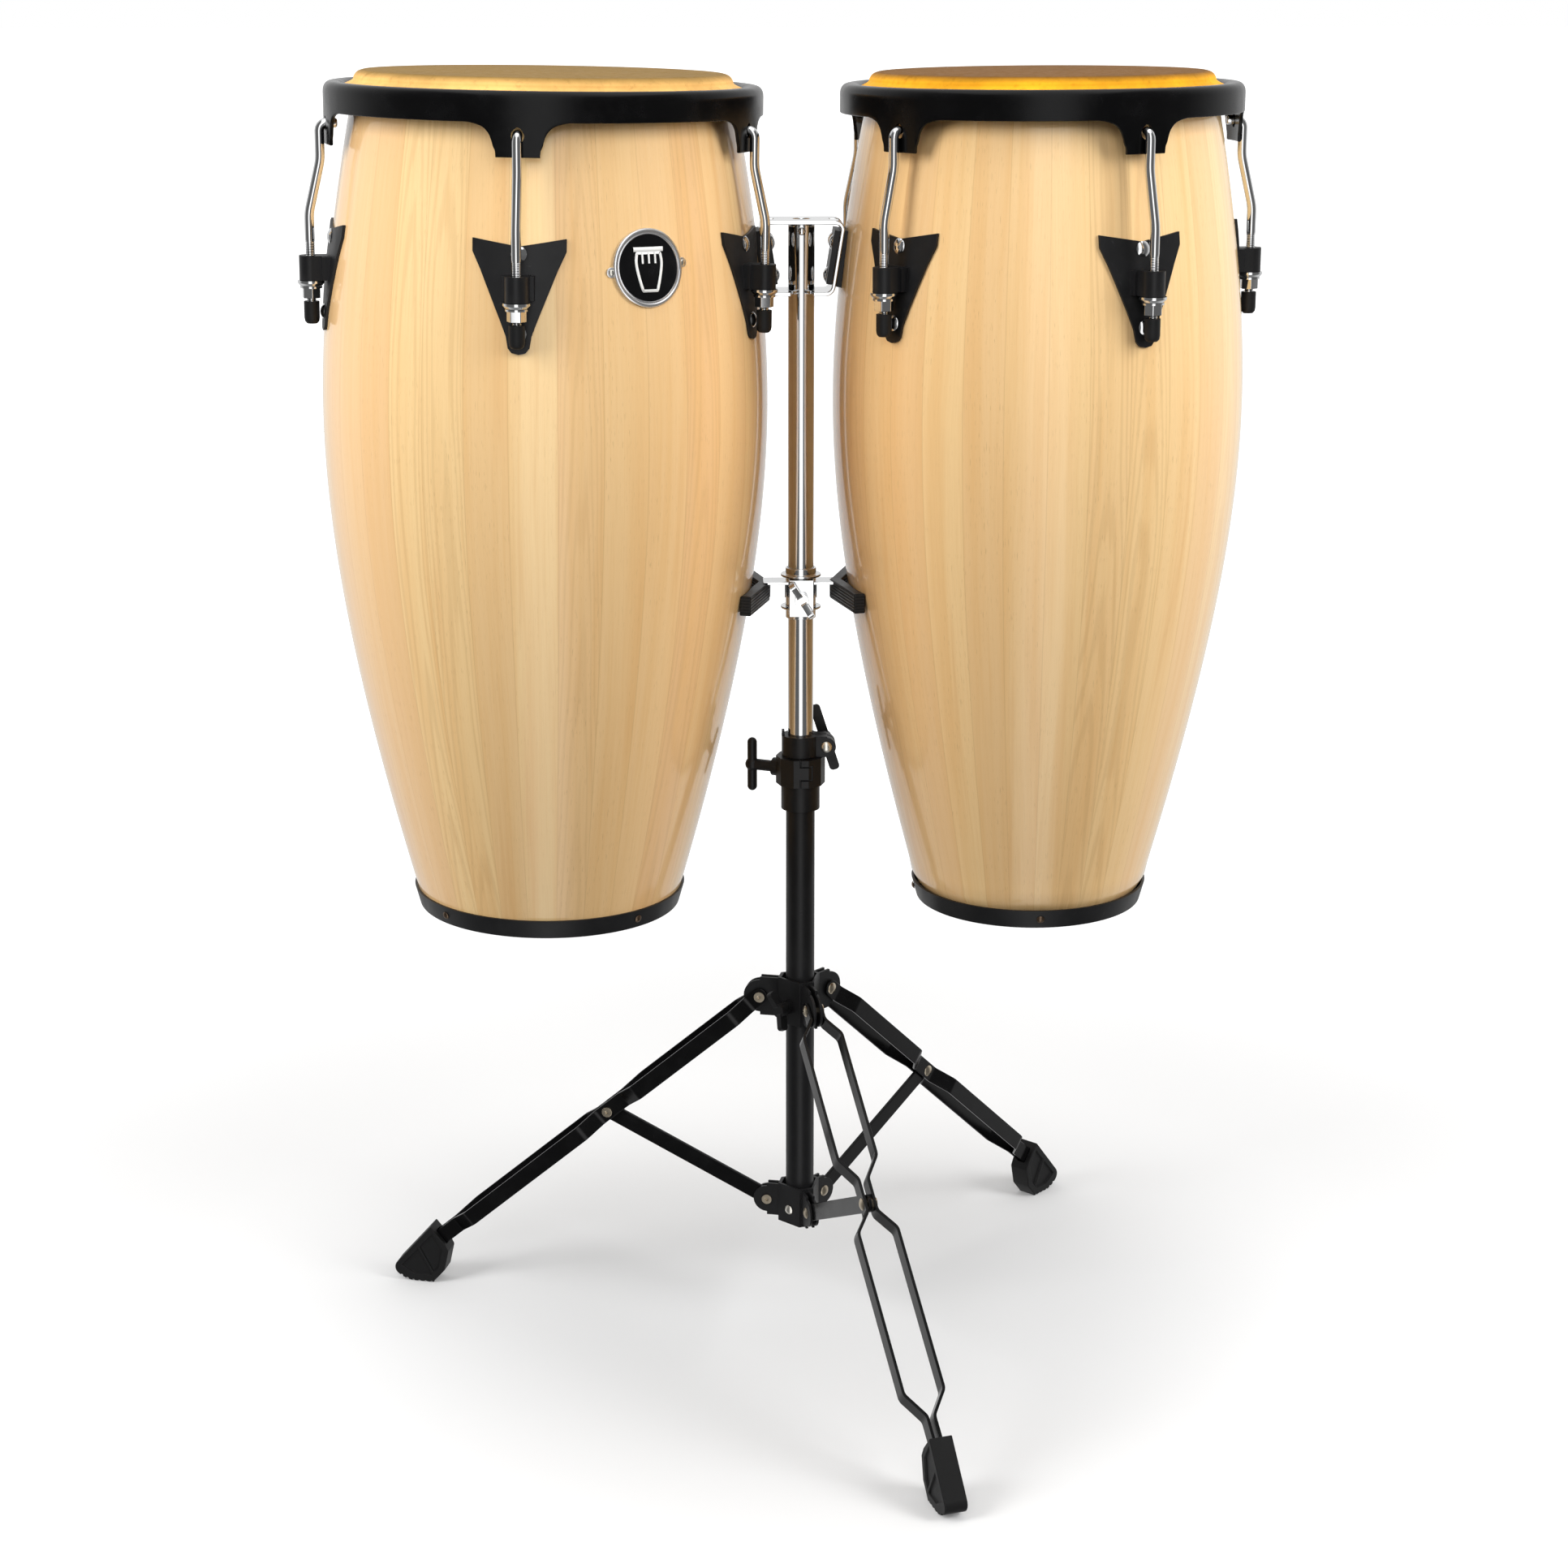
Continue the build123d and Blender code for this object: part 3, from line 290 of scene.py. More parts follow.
# ---------------------------------------------------------------- material helpers
class Paint:
    """A material and short calls for its nodes."""

    def __init__(self, name, **settings):
        self.material = bpy.data.materials.new(name)
        self.material.use_nodes = True
        self.tree = self.material.node_tree
        self.shader = self.tree.nodes["Principled BSDF"]
        self.place = self.node("ShaderNodeTexCoord").outputs["Object"]
        self.set(**settings)

    def give(self, socket, value):
        if isinstance(value, bpy.types.NodeSocket):
            self.tree.links.new(value, socket)
        elif isinstance(value, (tuple, list)) and len(value) == 3 and len(socket.default_value) == 4:
            socket.default_value = (*value, 1.0)
        else:
            socket.default_value = value

    def set(self, **settings):
        for key, value in settings.items():
            self.give(self.shader.inputs[SOCKETS.get(key, key.capitalize())], value)

    def node(self, kind, inputs=None, **settings):
        made = self.tree.nodes.new(kind)
        for key, value in settings.items():
            setattr(made, key, value)
        for key, value in (inputs or {}).items():
            self.give(made.inputs[key], value)
        return made

    def scaled(self, vector, x, y, z):
        return self.node("ShaderNodeMapping", {"Vector": vector, "Scale": (x, y, z)}).outputs[0]

    def noise(self, vector, scale=1.0, detail=2.0, rough=0.5):
        return self.node("ShaderNodeTexNoise", {
            "Vector": vector, "Scale": scale, "Detail": detail, "Roughness": rough,
        }).outputs["Fac"]

    def range(self, value, low, high, to_low=0.0, to_high=1.0, smooth=True):
        return self.node("ShaderNodeMapRange", {
            "Value": value, "From Min": low, "From Max": high, "To Min": to_low, "To Max": to_high,
        }, interpolation_type="SMOOTHSTEP" if smooth else "LINEAR").outputs["Result"]

    def math(self, kind, a, b=0.0):
        return self.node("ShaderNodeMath", {0: a, 1: b}, operation=kind).outputs[0]

    def mix(self, factor, a, b):
        """A colour between two. Sockets 6 and 7 take them and output 2 gives it."""
        made = self.node("ShaderNodeMix", data_type="RGBA")
        self.give(made.inputs["Factor"], factor)
        self.give(made.inputs[6], a)
        self.give(made.inputs[7], b)
        return made.outputs[2]

    def bumps(self, height, depth):
        """The normal of a surface with a height on it, up to a depth."""
        return self.node("ShaderNodeBump", {
            "Height": height, "Distance": depth, "Strength": 1.0,
        }).outputs[0]

    def bump(self, height, depth):
        self.set(normal=self.bumps(height, depth))


SOCKETS = {
    "base": "Base Color", "coat": "Coat Weight", "coat_rough": "Coat Roughness",
    "coat_ior": "Coat IOR", "specular": "Specular IOR Level", "coat_normal": "Coat Normal",
}


GLOSS_SPREAD = 0.1           # how much a coat's roughness changes over a piece
DULLED = 0.62                # a tarnished plating's colour, as a share of the bright one
SCRATCHED = (0.12, 0.12, 0.125)


def metal_paint(name, base, rough, spread=0.08, grain=900.0, depth=0.004, tint=0.12):
    """Plated metal: bright, with slow changes of gloss and hair-fine marks."""
    paint = Paint(name, metallic=1.0)
    slow = paint.noise(paint.place, 60.0, 4.0, 0.6)
    fine = paint.noise(paint.place, grain, 3.0, 0.6)
    dull = paint.mix(paint.range(slow, 0.3, 0.75, 0.0, tint), base, tuple(DULLED * c for c in base))
    paint.set(base=dull, roughness=paint.range(slow, 0.3, 0.7, rough, rough + spread))
    paint.bump(fine, depth * MM)
    return paint.material


def coated_paint(name, base, rough, grain, depth, worn=0.0, specular=0.5, grooves=0.0):
    """Powder coat, rubber or plastic: near black with its fine texture and slight marks.
    Grooves, in millimetres, run level round the piece."""
    paint = Paint(name, specular=specular)
    slow = paint.noise(paint.place, 45.0, 5.0, 0.6)
    fine = paint.noise(paint.place, grain, 4.0, 0.55)
    light = tuple(min(c * 1.8 + 0.002, 0.85) for c in base)
    shade = paint.mix(paint.range(slow, 0.45, 0.8, 0.0, 0.5), base, light)
    scratch = paint.noise(paint.scaled(paint.place, 40.0, 900.0, 60.0), 1.0, 3.0, 0.7)
    shade = paint.mix(paint.range(scratch, 0.66, 0.74, 0.0, worn), shade, SCRATCHED)
    half = GLOSS_SPREAD / 2
    paint.set(base=shade, roughness=paint.range(slow, 0.25, 0.75, rough - half, rough + half))
    if grooves:
        level = paint.node("ShaderNodeSeparateXYZ", {"Vector": paint.place}).outputs["Z"]
        wave = paint.math("SINE", paint.math("MULTIPLY", level, 2 * pi / (grooves * MM)))
        fine = paint.math("ADD", paint.math("MULTIPLY", fine, 0.2), wave)
        depth *= 8
    paint.bump(fine, depth * MM)
    return paint.material


WOOD_PALE = (0.86, 0.610, 0.300)
WOOD_HONEY = (0.76, 0.455, 0.185)
WOOD_PINK = (0.77, 0.485, 0.235)
WOOD_ROSE = (0.70, 0.385, 0.150)
WOOD_TAN = (0.50, 0.27, 0.10)
WOOD_BROWN = (0.36, 0.185, 0.075)
WOOD_RAW = (0.42, 0.26, 0.13)


def wood_paint(name, lacquered):
    """Pale hardwood staves: long soft streaks, fine fibre, dark pores and growth rings."""
    paint = Paint(name)
    grain = paint.node("ShaderNodeUVMap", uv_map="grain").outputs[0]
    stave = paint.node("ShaderNodeSeparateColor", {
        "Color": paint.node("ShaderNodeAttribute", attribute_name="stave").outputs["Color"],
    }).outputs
    tone, hue, cut = stave[0], stave[1], stave[2]
    across = paint.node("ShaderNodeSeparateXYZ", {"Vector": grain}).outputs
    shift = paint.node("ShaderNodeCombineXYZ", {
        "X": paint.math("MULTIPLY", tone, 9.0), "Y": paint.math("MULTIPLY", hue, 13.0),
    }).outputs[0]
    spot = paint.node("ShaderNodeVectorMath", {0: grain, 1: shift}, operation="ADD").outputs[0]
    wander = paint.noise(paint.scaled(spot, 9.0, 2.2, 1.0), 1.0, 2.0, 0.5)
    bent = paint.node("ShaderNodeCombineXYZ", {"X": paint.math("MULTIPLY", wander, 0.014)}).outputs[0]
    fibre = paint.node("ShaderNodeVectorMath", {0: spot, 1: bent}, operation="ADD").outputs[0]

    broad = paint.noise(paint.scaled(fibre, 60.0, 1.6, 1.0), 1.0, 4.0, 0.55)
    narrow = paint.noise(paint.scaled(fibre, 420.0, 4.5, 1.0), 1.0, 4.0, 0.6)
    hair = paint.noise(paint.scaled(fibre, 1900.0, 22.0, 1.0), 1.0, 2.0, 0.6)
    pore = paint.noise(paint.scaled(fibre, 2300.0, 95.0, 1.0), 1.0, 1.0, 0.4)
    patch = paint.noise(paint.scaled(spot, 26.0, 5.0, 1.0), 1.0, 2.0, 0.5)
    pores = paint.math("MULTIPLY", paint.range(pore, 0.66, 0.76), paint.range(patch, 0.35, 0.65, 0.25, 1.0))

    arch = paint.math("MULTIPLY", across[0], 62.0)
    arch = paint.math("MULTIPLY", arch, arch)
    field = paint.math("ADD", paint.math("MULTIPLY", across[1], 2.6), arch)
    field = paint.math("ADD", field, paint.math("MULTIPLY", broad, 1.1))
    field = paint.math("ADD", field, paint.math("MULTIPLY", wander, 2.6))
    rings = paint.math("SINE", paint.math("MULTIPLY", field, 15.0))
    rings = paint.range(rings, -0.2, 1.0, 0.0, 1.0)
    show = paint.math("MULTIPLY", paint.range(cut, 0.6, 0.95), 0.20)

    body = paint.mix(paint.range(tone, 0.0, 1.0, 0.0, 0.9, False), WOOD_PALE, WOOD_PINK)
    body = paint.mix(paint.range(broad, 0.40, 0.72, 0.0, 0.62), body, WOOD_HONEY)
    body = paint.mix(paint.range(narrow, 0.48, 0.76, 0.0, 0.32), body, WOOD_HONEY)
    blush = paint.noise(paint.scaled(fibre, 95.0, 2.6, 1.0), 1.0, 3.0, 0.6)
    body = paint.mix(paint.range(blush, 0.54, 0.78, 0.0, 0.42), body, WOOD_ROSE)
    body = paint.mix(paint.math("MULTIPLY", rings, show), body, WOOD_TAN)
    body = paint.mix(paint.range(hair, 0.45, 0.8, 0.0, 0.13), body, WOOD_TAN)
    body = paint.mix(paint.math("MULTIPLY", pores, 0.55), body, WOOD_BROWN)
    joint = paint.node("ShaderNodeAttribute", attribute_name="joint").outputs["Fac"]
    body = paint.mix(paint.range(joint, 0.96, 1.0, 0.0, 0.30), body, WOOD_TAN)
    if lacquered:
        paint.set(base=body, roughness=paint.range(narrow, 0.3, 0.8, 0.34, 0.46), coat=1.0,
                  coat_rough=0.09, coat_ior=1.45, specular=0.25)
        paint.bump(narrow, 0.01 * MM)
        paint.set(coat_normal=paint.bumps(paint.noise(paint.place, 55.0, 2.0, 0.5), 0.05 * MM))
    else:
        paint.set(base=paint.mix(0.35, body, WOOD_RAW), roughness=0.72)
        paint.bump(paint.math("ADD", hair, paint.math("MULTIPLY", pores, -0.8)), 0.06 * MM)
    return paint.material


def skin_paint(name, top, rim, speck, speckles):
    """Natural hide: cloudy tan, small pores, darker on the played face than at its edge, as painted shade
    on the face and painted light on the edge.
    """
    paint = Paint(name)
    cloud = paint.noise(paint.place, 14.0, 6.0, 0.62)
    mottle = paint.noise(paint.place, 160.0, 5.0, 0.65)
    grit = paint.noise(paint.place, 1300.0, 3.0, 0.6)
    edge = paint.node("ShaderNodeAttribute", attribute_name="edge").outputs["Fac"]
    # painted shade and light: the darker top colour is painted shade on the played face, the lighter rim
    # colour is painted light on the shoulder and skirt
    body = paint.mix(edge, top, rim)
    body = paint.mix(paint.range(cloud, 0.35, 0.75, 0.0, 0.45), body, tuple(0.72 * c for c in top))
    body = paint.mix(paint.range(mottle, 0.5, 0.8, 0.0, 0.4), body, tuple(0.6 * c for c in top))
    body = paint.mix(paint.range(grit, 0.62, 0.74, 0.0, speckles), body, speck)
    paint.set(base=body, roughness=paint.range(mottle, 0.3, 0.8, 0.48, 0.64), specular=0.05)
    paint.bump(paint.math("ADD", grit, mottle), 0.12 * MM)
    return paint.material


# ---------------------------------------------------------------- materials
STEEL = coated_paint("black_steel", (0.0085, 0.0085, 0.009), 0.42, 1400.0, 0.02, worn=0.10, specular=0.26)
HOOP = coated_paint(
    "black_hoop", (0.0022, 0.0022, 0.0024), 0.24, 1500.0, 0.010, worn=0.02, specular=0.15,
)
CHROME = metal_paint("chrome", (0.74, 0.745, 0.75), 0.05, 0.05)
ZINC = metal_paint("zinc", (0.88, 0.85, 0.77), 0.24, 0.12, 1200.0, 0.01, 0.25)
RUBBER = coated_paint("rubber", (0.006, 0.006, 0.0062), 0.58, 2400.0, 0.05, specular=0.3)
GASKET = coated_paint("gasket", (0.006, 0.006, 0.0065), 0.5, 1600.0, 0.03, specular=0.3)
NYLON = coated_paint("nylon", (0.006, 0.006, 0.006), 0.45, 900.0, 0.01, specular=0.3)
BADGE_BLACK = coated_paint("badge_black", (0.004, 0.004, 0.0045), 0.16, 900.0, 0.004, specular=0.2)
PAD_RUBBER = coated_paint(
    "pad_rubber", (0.006, 0.006, 0.0062), 0.42, 2400.0, 0.03, specular=0.3, grooves=2.6,
)
BADGE_WHITE = coated_paint("badge_white", (0.80, 0.80, 0.78), 0.35, 900.0, 0.004)
AGED = metal_paint("aged_screw", (0.16, 0.11, 0.075), 0.32, 0.15, 1200.0, 0.02, 0.5)
BRASSY = metal_paint("plated_rivet", (0.60, 0.52, 0.40), 0.24, 0.15, 1200.0, 0.015, 0.5)
LEG_STEEL = coated_paint(
    "black_leg", (0.0035, 0.0035, 0.0037), 0.20, 700.0, 0.008, worn=0.04, specular=0.22,
)
BADGE_SILVER = metal_paint("badge_silver", (0.93, 0.93, 0.94), 0.30, 0.08)
WOOD = wood_paint("lacquered_wood", True)
RAW_WOOD = wood_paint("raw_wood", False)
# Each hide's first colour is its played face darkened as painted shade, its second its rim lightened as
# painted light; the third is its pores.
SKINS = {
    "left": skin_paint("pale_skin", (0.25, 0.148, 0.034), (0.92, 0.53, 0.175), (0.22, 0.11, 0.03), 0.45),
    "right": skin_paint("amber_skin", (0.175, 0.075, 0.008), (1.0, 0.46, 0.022), (0.22, 0.10, 0.02), 0.30),
}
FINISH = {
    "black_steel": STEEL, "chrome": CHROME, "zinc": ZINC, "rubber": RUBBER, "gasket": GASKET,
    "nylon": NYLON,
}

BODY_OF = {
    node_name: body_name
    for node_name, node_object in frame["nodes"].items()
    for body_name, body_empty in frame["bodies"].items()
    if node_object.parent == body_empty
}


# ---------------------------------------------------------------- the drums
STAVES = {"left": 32, "right": 31}
STAVE_SEED = {"left": 11, "right": 29}
STAVE_THICK = 11.0 * MM
STAVE_PARTS = 6              # columns of faces in one stave
SHELL_LOW = 2.8 * MM
SHELL_HIGH = 704.0 * MM      # where the rounded bearing edge begins
SHELL_ROWS = 64
SKIN_LEVEL = 706.0 * MM      # only the bearing edge stands higher
CROWN = 708.4 * MM


def make_shell(name):
    """Staves side by side, each with its own cut of wood, lacquered outside and raw inside."""
    place = drum_matrix(name)
    points = cad_points(name + "_shell", place.inverted())
    profile = outer_profile(points, SHELL_HIGH + 0.5 * MM)
    heights = [SHELL_LOW + (SHELL_HIGH - SHELL_LOW) * i / SHELL_ROWS for i in range(SHELL_ROWS + 1)]
    head_r = max(hypot(p.x, p.y) for p in points if p.z > SKIN_LEVEL)
    outside = [(along(profile, z), z, 0) for z in heights]
    edge = [
        (head_r, SKIN_LEVEL + 0.4 * MM, 1), (head_r - 2.6 * MM, CROWN, 1), (head_r - 5.0 * MM, CROWN, 1),
    ]
    inside = [(r - STAVE_THICK, z, 1) for r, z, _ in reversed(outside)]
    rows = outside + edge + inside           # each with 0 where it is lacquered, or else 1
    random = Random(STAVE_SEED[name])
    count = STAVES[name]
    widths = [1 + random.uniform(-0.09, 0.09) for _ in range(count)]
    scale = 2 * pi / sum(widths)
    angles, owner, share = [], [], []
    start = random.uniform(0, 1)
    for index, width in enumerate(widths):
        for part in range(STAVE_PARTS):
            angles.append(start + scale * width * part / STAVE_PARTS)
            owner.append(index)
            share.append(part / STAVE_PARTS)
        start += scale * width
    columns = len(angles)
    build = bmesh.new()
    grid = [
        [build.verts.new((r * sin(a), -r * cos(a), z)) for a in angles] for r, z, _ in rows
    ]
    layer = build.loops.layers.uv.new("grain")
    stave_layer = build.loops.layers.float_color.new("stave")
    joint_layer = build.loops.layers.float.new("joint")
    looks = [
        (random.random() ** 1.4, random.random(), random.random(), 1.0) for _ in range(count)
    ]
    for j, (_, _, raw) in enumerate(rows):
        after = (j + 1) % len(rows)
        below, above = grid[j], grid[after]
        for i in range(columns):
            k = (i + 1) % columns
            face = build.faces.new((below[i], below[k], above[k], above[i]))
            face.material_index = max(raw, rows[after][2])
            index = owner[i]
            wide = scale * widths[index]
            ends = (share[i], share[i] + 1 / STAVE_PARTS)
            for loop, (side, row) in zip(face.loops, ((0, j), (1, j), (1, after), (0, after))):
                r, z, _ = rows[row]
                loop[layer].uv = ((ends[side] - 0.5) * wide * r, z)
                loop[stave_layer] = looks[index]
                loop[joint_layer] = abs(ends[side] - 0.5) * 2
    mesh = mesh_of(build)
    piece(name + "_staves", mesh, BODY_OF[name + "_shell"], [WOOD, RAW_WOOD],
          [name + "_shell"], place)
    return profile


SKIN_THICK = 1.3 * MM
PAINTED_SHADE_DROP = 5.0 * MM          # the drop over which the played face's painted shade turns into the rim's painted light
SHOULDER = [(-30, 0), (-9, 0.1), (-3.6, 0.7), (-0.2, 2.4), (1.9, 5.2), (3.6, 8.6)]   # (outwards, down)


def make_head(name):
    """The hide: a flat face, a rounded shoulder and a skirt down to the flesh ring."""
    place = drum_matrix(name)
    points = cad_points(name + "_head", place.inverted())
    reach = max(hypot(p.x, p.y) for p in points)
    flat_r = max(hypot(p.x, p.y) for p in points if p.z > DRUM_HEIGHT - 0.4 * MM)
    edge = flat_r + 5.0 * MM
    top = DRUM_HEIGHT - 0.4 * MM
    shoulder = [(edge + out * MM, top - down * MM) for out, down in SHOULDER]
    upper = smooth_curve(shoulder + [(reach - 1.0 * MM, 697.2 * MM), (reach, 695.2 * MM)], 6)
    lower = [(r - SKIN_THICK * 0.8, z - SKIN_THICK * 0.75) for r, z in reversed(upper)]
    under = [(shoulder[0][0], top - SKIN_THICK), (0, top - SKIN_THICK)]
    played = [(r, top) for r in (0, 0.02, 0.05, 0.08, 0.105)]
    build = lathe(played + upper + lower[:-1] + under, 128)
    # The edge attribute carries painted light and shade: 0 on the played face for its painted shade, up to
    # 1 down the shoulder for the rim's painted light.
    layer = build.verts.layers.float.new("edge")
    for vertex in build.verts:
        painted_light_share = (top - vertex.co.z) / PAINTED_SHADE_DROP
        vertex[layer] = min(1.0, max(0.0, painted_light_share - 0.05))
    piece(name + "_hide", mesh_of(build), BODY_OF[name + "_head"], SKINS[name],
          [name + "_head"], place)


CROWN_DROP = 3.0 * MM        # the hoop's crown is below the top of its CAD solid
HOOP_STEEL = 3.0 * MM
HOOP_LOW = 678.0 * MM        # lower edge of the band between the ears
EAR_LOW = 652.0 * MM
EAR_HALF = 17.2 * MM
EAR_SIDE = [                 # (across, height) in millimetres, from the ear's foot outwards
    (17.2, 652.0), (17.4, 655.4), (17.9, 657.6), (18.6, 658.9), (19.4, 661.0), (20.3, 664.4),
    (22.6, 669.8), (27.1, 674.4), (33.0, 676.7), (38.7, 677.8), (42.5, 678.0),
]
HOOP_ROLL = [                # (inwards, down) in millimetres, over the rolled edge and back below it
    (0, 9), (0.35, 5.4), (1.9, 2.3), (4.4, 0.5), (7.6, 0), (11, 0.3), (14.1, 1.5), (16.2, 3.4),
    (15.9, 5), (14.3, 5.4), (12.9, 4.2), (8, 3), (4.9, 4), (3.3, 6.4), (3, 9.5),
]
HOOP_EDGE = 0.9 * MM         # rounding of the band's lower edge
SLOT_HEIGHT = 668.2
SLOT_HALF = 5.25
SLOT_UP = 6.6
SLOT_DOWN = 5.4
SLOT_SIDES = 24


def hoop_edge(azimuths, out):
    """The hoop's lower edge all round, as (azimuth, height): the ears and the level runs."""
    side = [(x * MM, z * MM) for x, z in smooth_curve(EAR_SIDE, 3)]
    foot = [(EAR_HALF * i / 4, EAR_LOW) for i in range(-3, 4)]
    outline = [(-x, z) for x, z in reversed(side)] + foot + side
    edge = []
    ordered = sorted(a % (2 * pi) for a in azimuths)
    for index, azimuth in enumerate(ordered):
        edge += [(azimuth + asin(x / out), z) for x, z in outline]
        after = ordered[(index + 1) % len(ordered)] + (2 * pi if index == len(ordered) - 1 else 0)
        first = azimuth + asin(outline[-1][0] / out)
        last = after + asin(outline[0][0] / out)
        edge += [(first + (last - first) * part / 24, HOOP_LOW) for part in range(1, 24)]
    return edge


def slot_cutter(azimuths, out, place):
    """The shapes of the hook slots: narrower above, through the wall of each ear."""
    cutter = bmesh.new()
    outline = []
    for i in range(SLOT_SIDES):
        angle = 2 * pi * i / SLOT_SIDES
        rise = cos(angle)
        across = SLOT_HALF * sin(angle) * (1.0 if rise < 0 else 1.0 - 0.35 * rise ** 2)
        outline.append((across * MM, (SLOT_HEIGHT + (SLOT_UP if rise > 0 else SLOT_DOWN) * rise) * MM))
    for azimuth in azimuths:
        turn = Matrix.Rotation(azimuth, 4, "Z")
        near = [cutter.verts.new(turn @ Vector((x, -out - 6 * MM, z))) for x, z in outline]
        far = [cutter.verts.new(turn @ Vector((x, -out + 9 * MM, z))) for x, z in outline]
        cutter.faces.new(near)
        cutter.faces.new(far[::-1])
        for i in range(SLOT_SIDES):
            k = (i + 1) % SLOT_SIDES
            cutter.faces.new((near[k], near[i], far[i], far[k]))
    bmesh.ops.recalc_face_normals(cutter, faces=cutter.faces)
    tool = bpy.data.objects.new("slot_cutter", mesh_of(cutter))
    bpy.context.scene.collection.objects.link(tool)
    tool.matrix_world = place
    return tool


def make_hoop(name, azimuths, body):
    """The rim: a deep band with a rolled edge, ears cut in one with it and a slot in each ear."""
    place = drum_matrix(name)
    points = cad_points(name + "_hoop", place.inverted())
    out = max(hypot(p.x, p.y) for p in points)
    top = max(p.z for p in points) - CROWN_DROP
    columns = hoop_edge(azimuths, out)
    rolled = smooth_curve([(out - inward * MM, top - down * MM) for inward, down in HOOP_ROLL], 4)
    join = top - HOOP_ROLL[0][1] * MM
    build = bmesh.new()
    grid = []

    def add_row(radius, height_of):
        grid.append([
            build.verts.new((radius * sin(a), -radius * cos(a), height_of(z))) for a, z in columns
        ])

    def add_wall(radius, shares):
        """Rows up or down the band's wall, as shares of its height above the rounded edge."""
        for share in shares:
            add_row(radius, lambda z: z + HOOP_EDGE + (join - z - HOOP_EDGE) * share)

    inner = out - HOOP_STEEL
    add_row(out - HOOP_EDGE, lambda z: z)
    add_row(out - HOOP_EDGE * 0.3, lambda z: z + HOOP_EDGE * 0.3)
    add_wall(out, (0.0, 0.12, 0.3, 0.5, 0.7, 0.88))
    for radius, height in rolled:
        add_row(radius, lambda z: height)
    add_wall(inner, (0.75, 0.5, 0.25, 0.0))
    add_row(inner + HOOP_EDGE * 0.3, lambda z: z + HOOP_EDGE * 0.3)
    add_row(inner + HOOP_EDGE, lambda z: z)
    count = len(columns)
    for j, lower in enumerate(grid):
        upper = grid[(j + 1) % len(grid)]
        for i in range(count):
            k = (i + 1) % count
            build.faces.new((lower[i], lower[k], upper[k], upper[i]))
    bmesh.ops.recalc_face_normals(build, faces=build.faces)
    obj = piece(name + "_rim", mesh_of(build), body, HOOP, [name + "_hoop"], place)
    tool = slot_cutter(azimuths, out, place)
    cut = obj.modifiers.new("slots", "BOOLEAN")
    cut.object = tool
    cut.solver = "EXACT"
    bpy.context.view_layer.update()
    done = bpy.data.meshes.new_from_object(obj.evaluated_get(bpy.context.evaluated_depsgraph_get()))
    obj.modifiers.clear()
    obj.data = done
    bpy.data.objects.remove(tool)
    rounding = bmesh.new()
    rounding.from_mesh(obj.data)
    bmesh.ops.dissolve_degenerate(rounding, edges=rounding.edges, dist=1e-6)
    rounding.to_mesh(obj.data)
    rounding.free()
    obj.data.polygons.foreach_set("use_smooth", [True] * len(obj.data.polygons))
    sharpen(obj, 50.0)
    return out


ROD_RADIUS = 3.95 * MM
ROD_SIDES = 20
HOOK_LEVEL = 669.0 * MM
SET_LEVELS = (640.0 * MM, 598.0 * MM)    # where the rod leaves the hook's line and meets the lug's
THREAD_TOP = 577.0 * MM
THREAD_PITCH = 1.25 * MM
THREAD_DEPTH = 0.62 * MM


def make_rods(name, azimuths, out, at_lug, body):
    """Chromed rods: hooked into the ears, with a set outwards and a cut thread at the end."""
    at_hook = out + ROD_RADIUS + 1.0 * MM
    bottom = min(p.z for p in cad_points(name + "_tension_rods", drum_matrix(name).inverted()))
    path = filleted(
        [(out - 9.5 * MM, HOOK_LEVEL), (at_hook, HOOK_LEVEL), (at_hook, SET_LEVELS[0]),
         (at_lug, SET_LEVELS[1]), (at_lug, THREAD_TOP)],
        [6 * MM, 40 * MM, 40 * MM], 1.6 * MM,
    )
    build = bmesh.new()
    for azimuth in azimuths:
        turn = Matrix.Rotation(azimuth, 4, "Z")
        rings = []

        def add_ring(centre, ahead, size):
            """A ring across the rod. Its size is a radius, or a radius for each angle."""
            beside = Vector((ahead.y, -ahead.x))
            ring = []
            for i in range(ROD_SIDES):
                angle = 2 * pi * i / ROD_SIDES
                reach = size(angle) if callable(size) else size
                spot = centre + beside * (reach * cos(angle))
                ring.append(build.verts.new(turn @ Vector((reach * sin(angle), -spot.x, spot.y))))
            rings.append(ring)

        def ridge_at(level):
            """The thread's radius at a level, for each angle. It runs out at the top."""
            depth = THREAD_DEPTH * min(1.0, (THREAD_TOP - level) / (3 * MM))
            return lambda angle: ROD_RADIUS - depth * abs(
                2 * ((level / THREAD_PITCH + angle / (2 * pi)) % 1.0) - 1
            )

        tip, first = path[0], (path[1] - path[0]).normalized()
        for share in (0.25, 0.75):
            add_ring(tip + first * 1.2 * MM * (1 - share) ** 2, first, ROD_RADIUS * (0.35 + 0.55 * share))
        add_ring(tip + first * 1.4 * MM, first, ROD_RADIUS)
        for index in range(1, len(path)):
            after = path[min(index + 1, len(path) - 1)]
            add_ring(path[index], (after - path[index - 1]).normalized(), ROD_RADIUS)
        height = THREAD_TOP
        down = Vector((0, -1))
        while height > bottom + 1.0 * MM:
            height -= THREAD_PITCH / 4
            add_ring(Vector((at_lug, height)), down, ridge_at(height))
        add_ring(Vector((at_lug, bottom)), down, ROD_RADIUS * 0.75)
        for lower, upper in zip(rings, rings[1:]):
            for i in range(ROD_SIDES):
                k = (i + 1) % ROD_SIDES
                build.faces.new((lower[i], lower[k], upper[k], upper[i]))
        build.faces.new(rings[0][::-1])
        build.faces.new(rings[-1])
    bmesh.ops.recalc_face_normals(build, faces=build.faces)
    obj = piece(name + "_rods", mesh_of(build), body, CHROME, [name + "_tension_rods"],
                drum_matrix(name))
    sharpen(obj, 60.0)


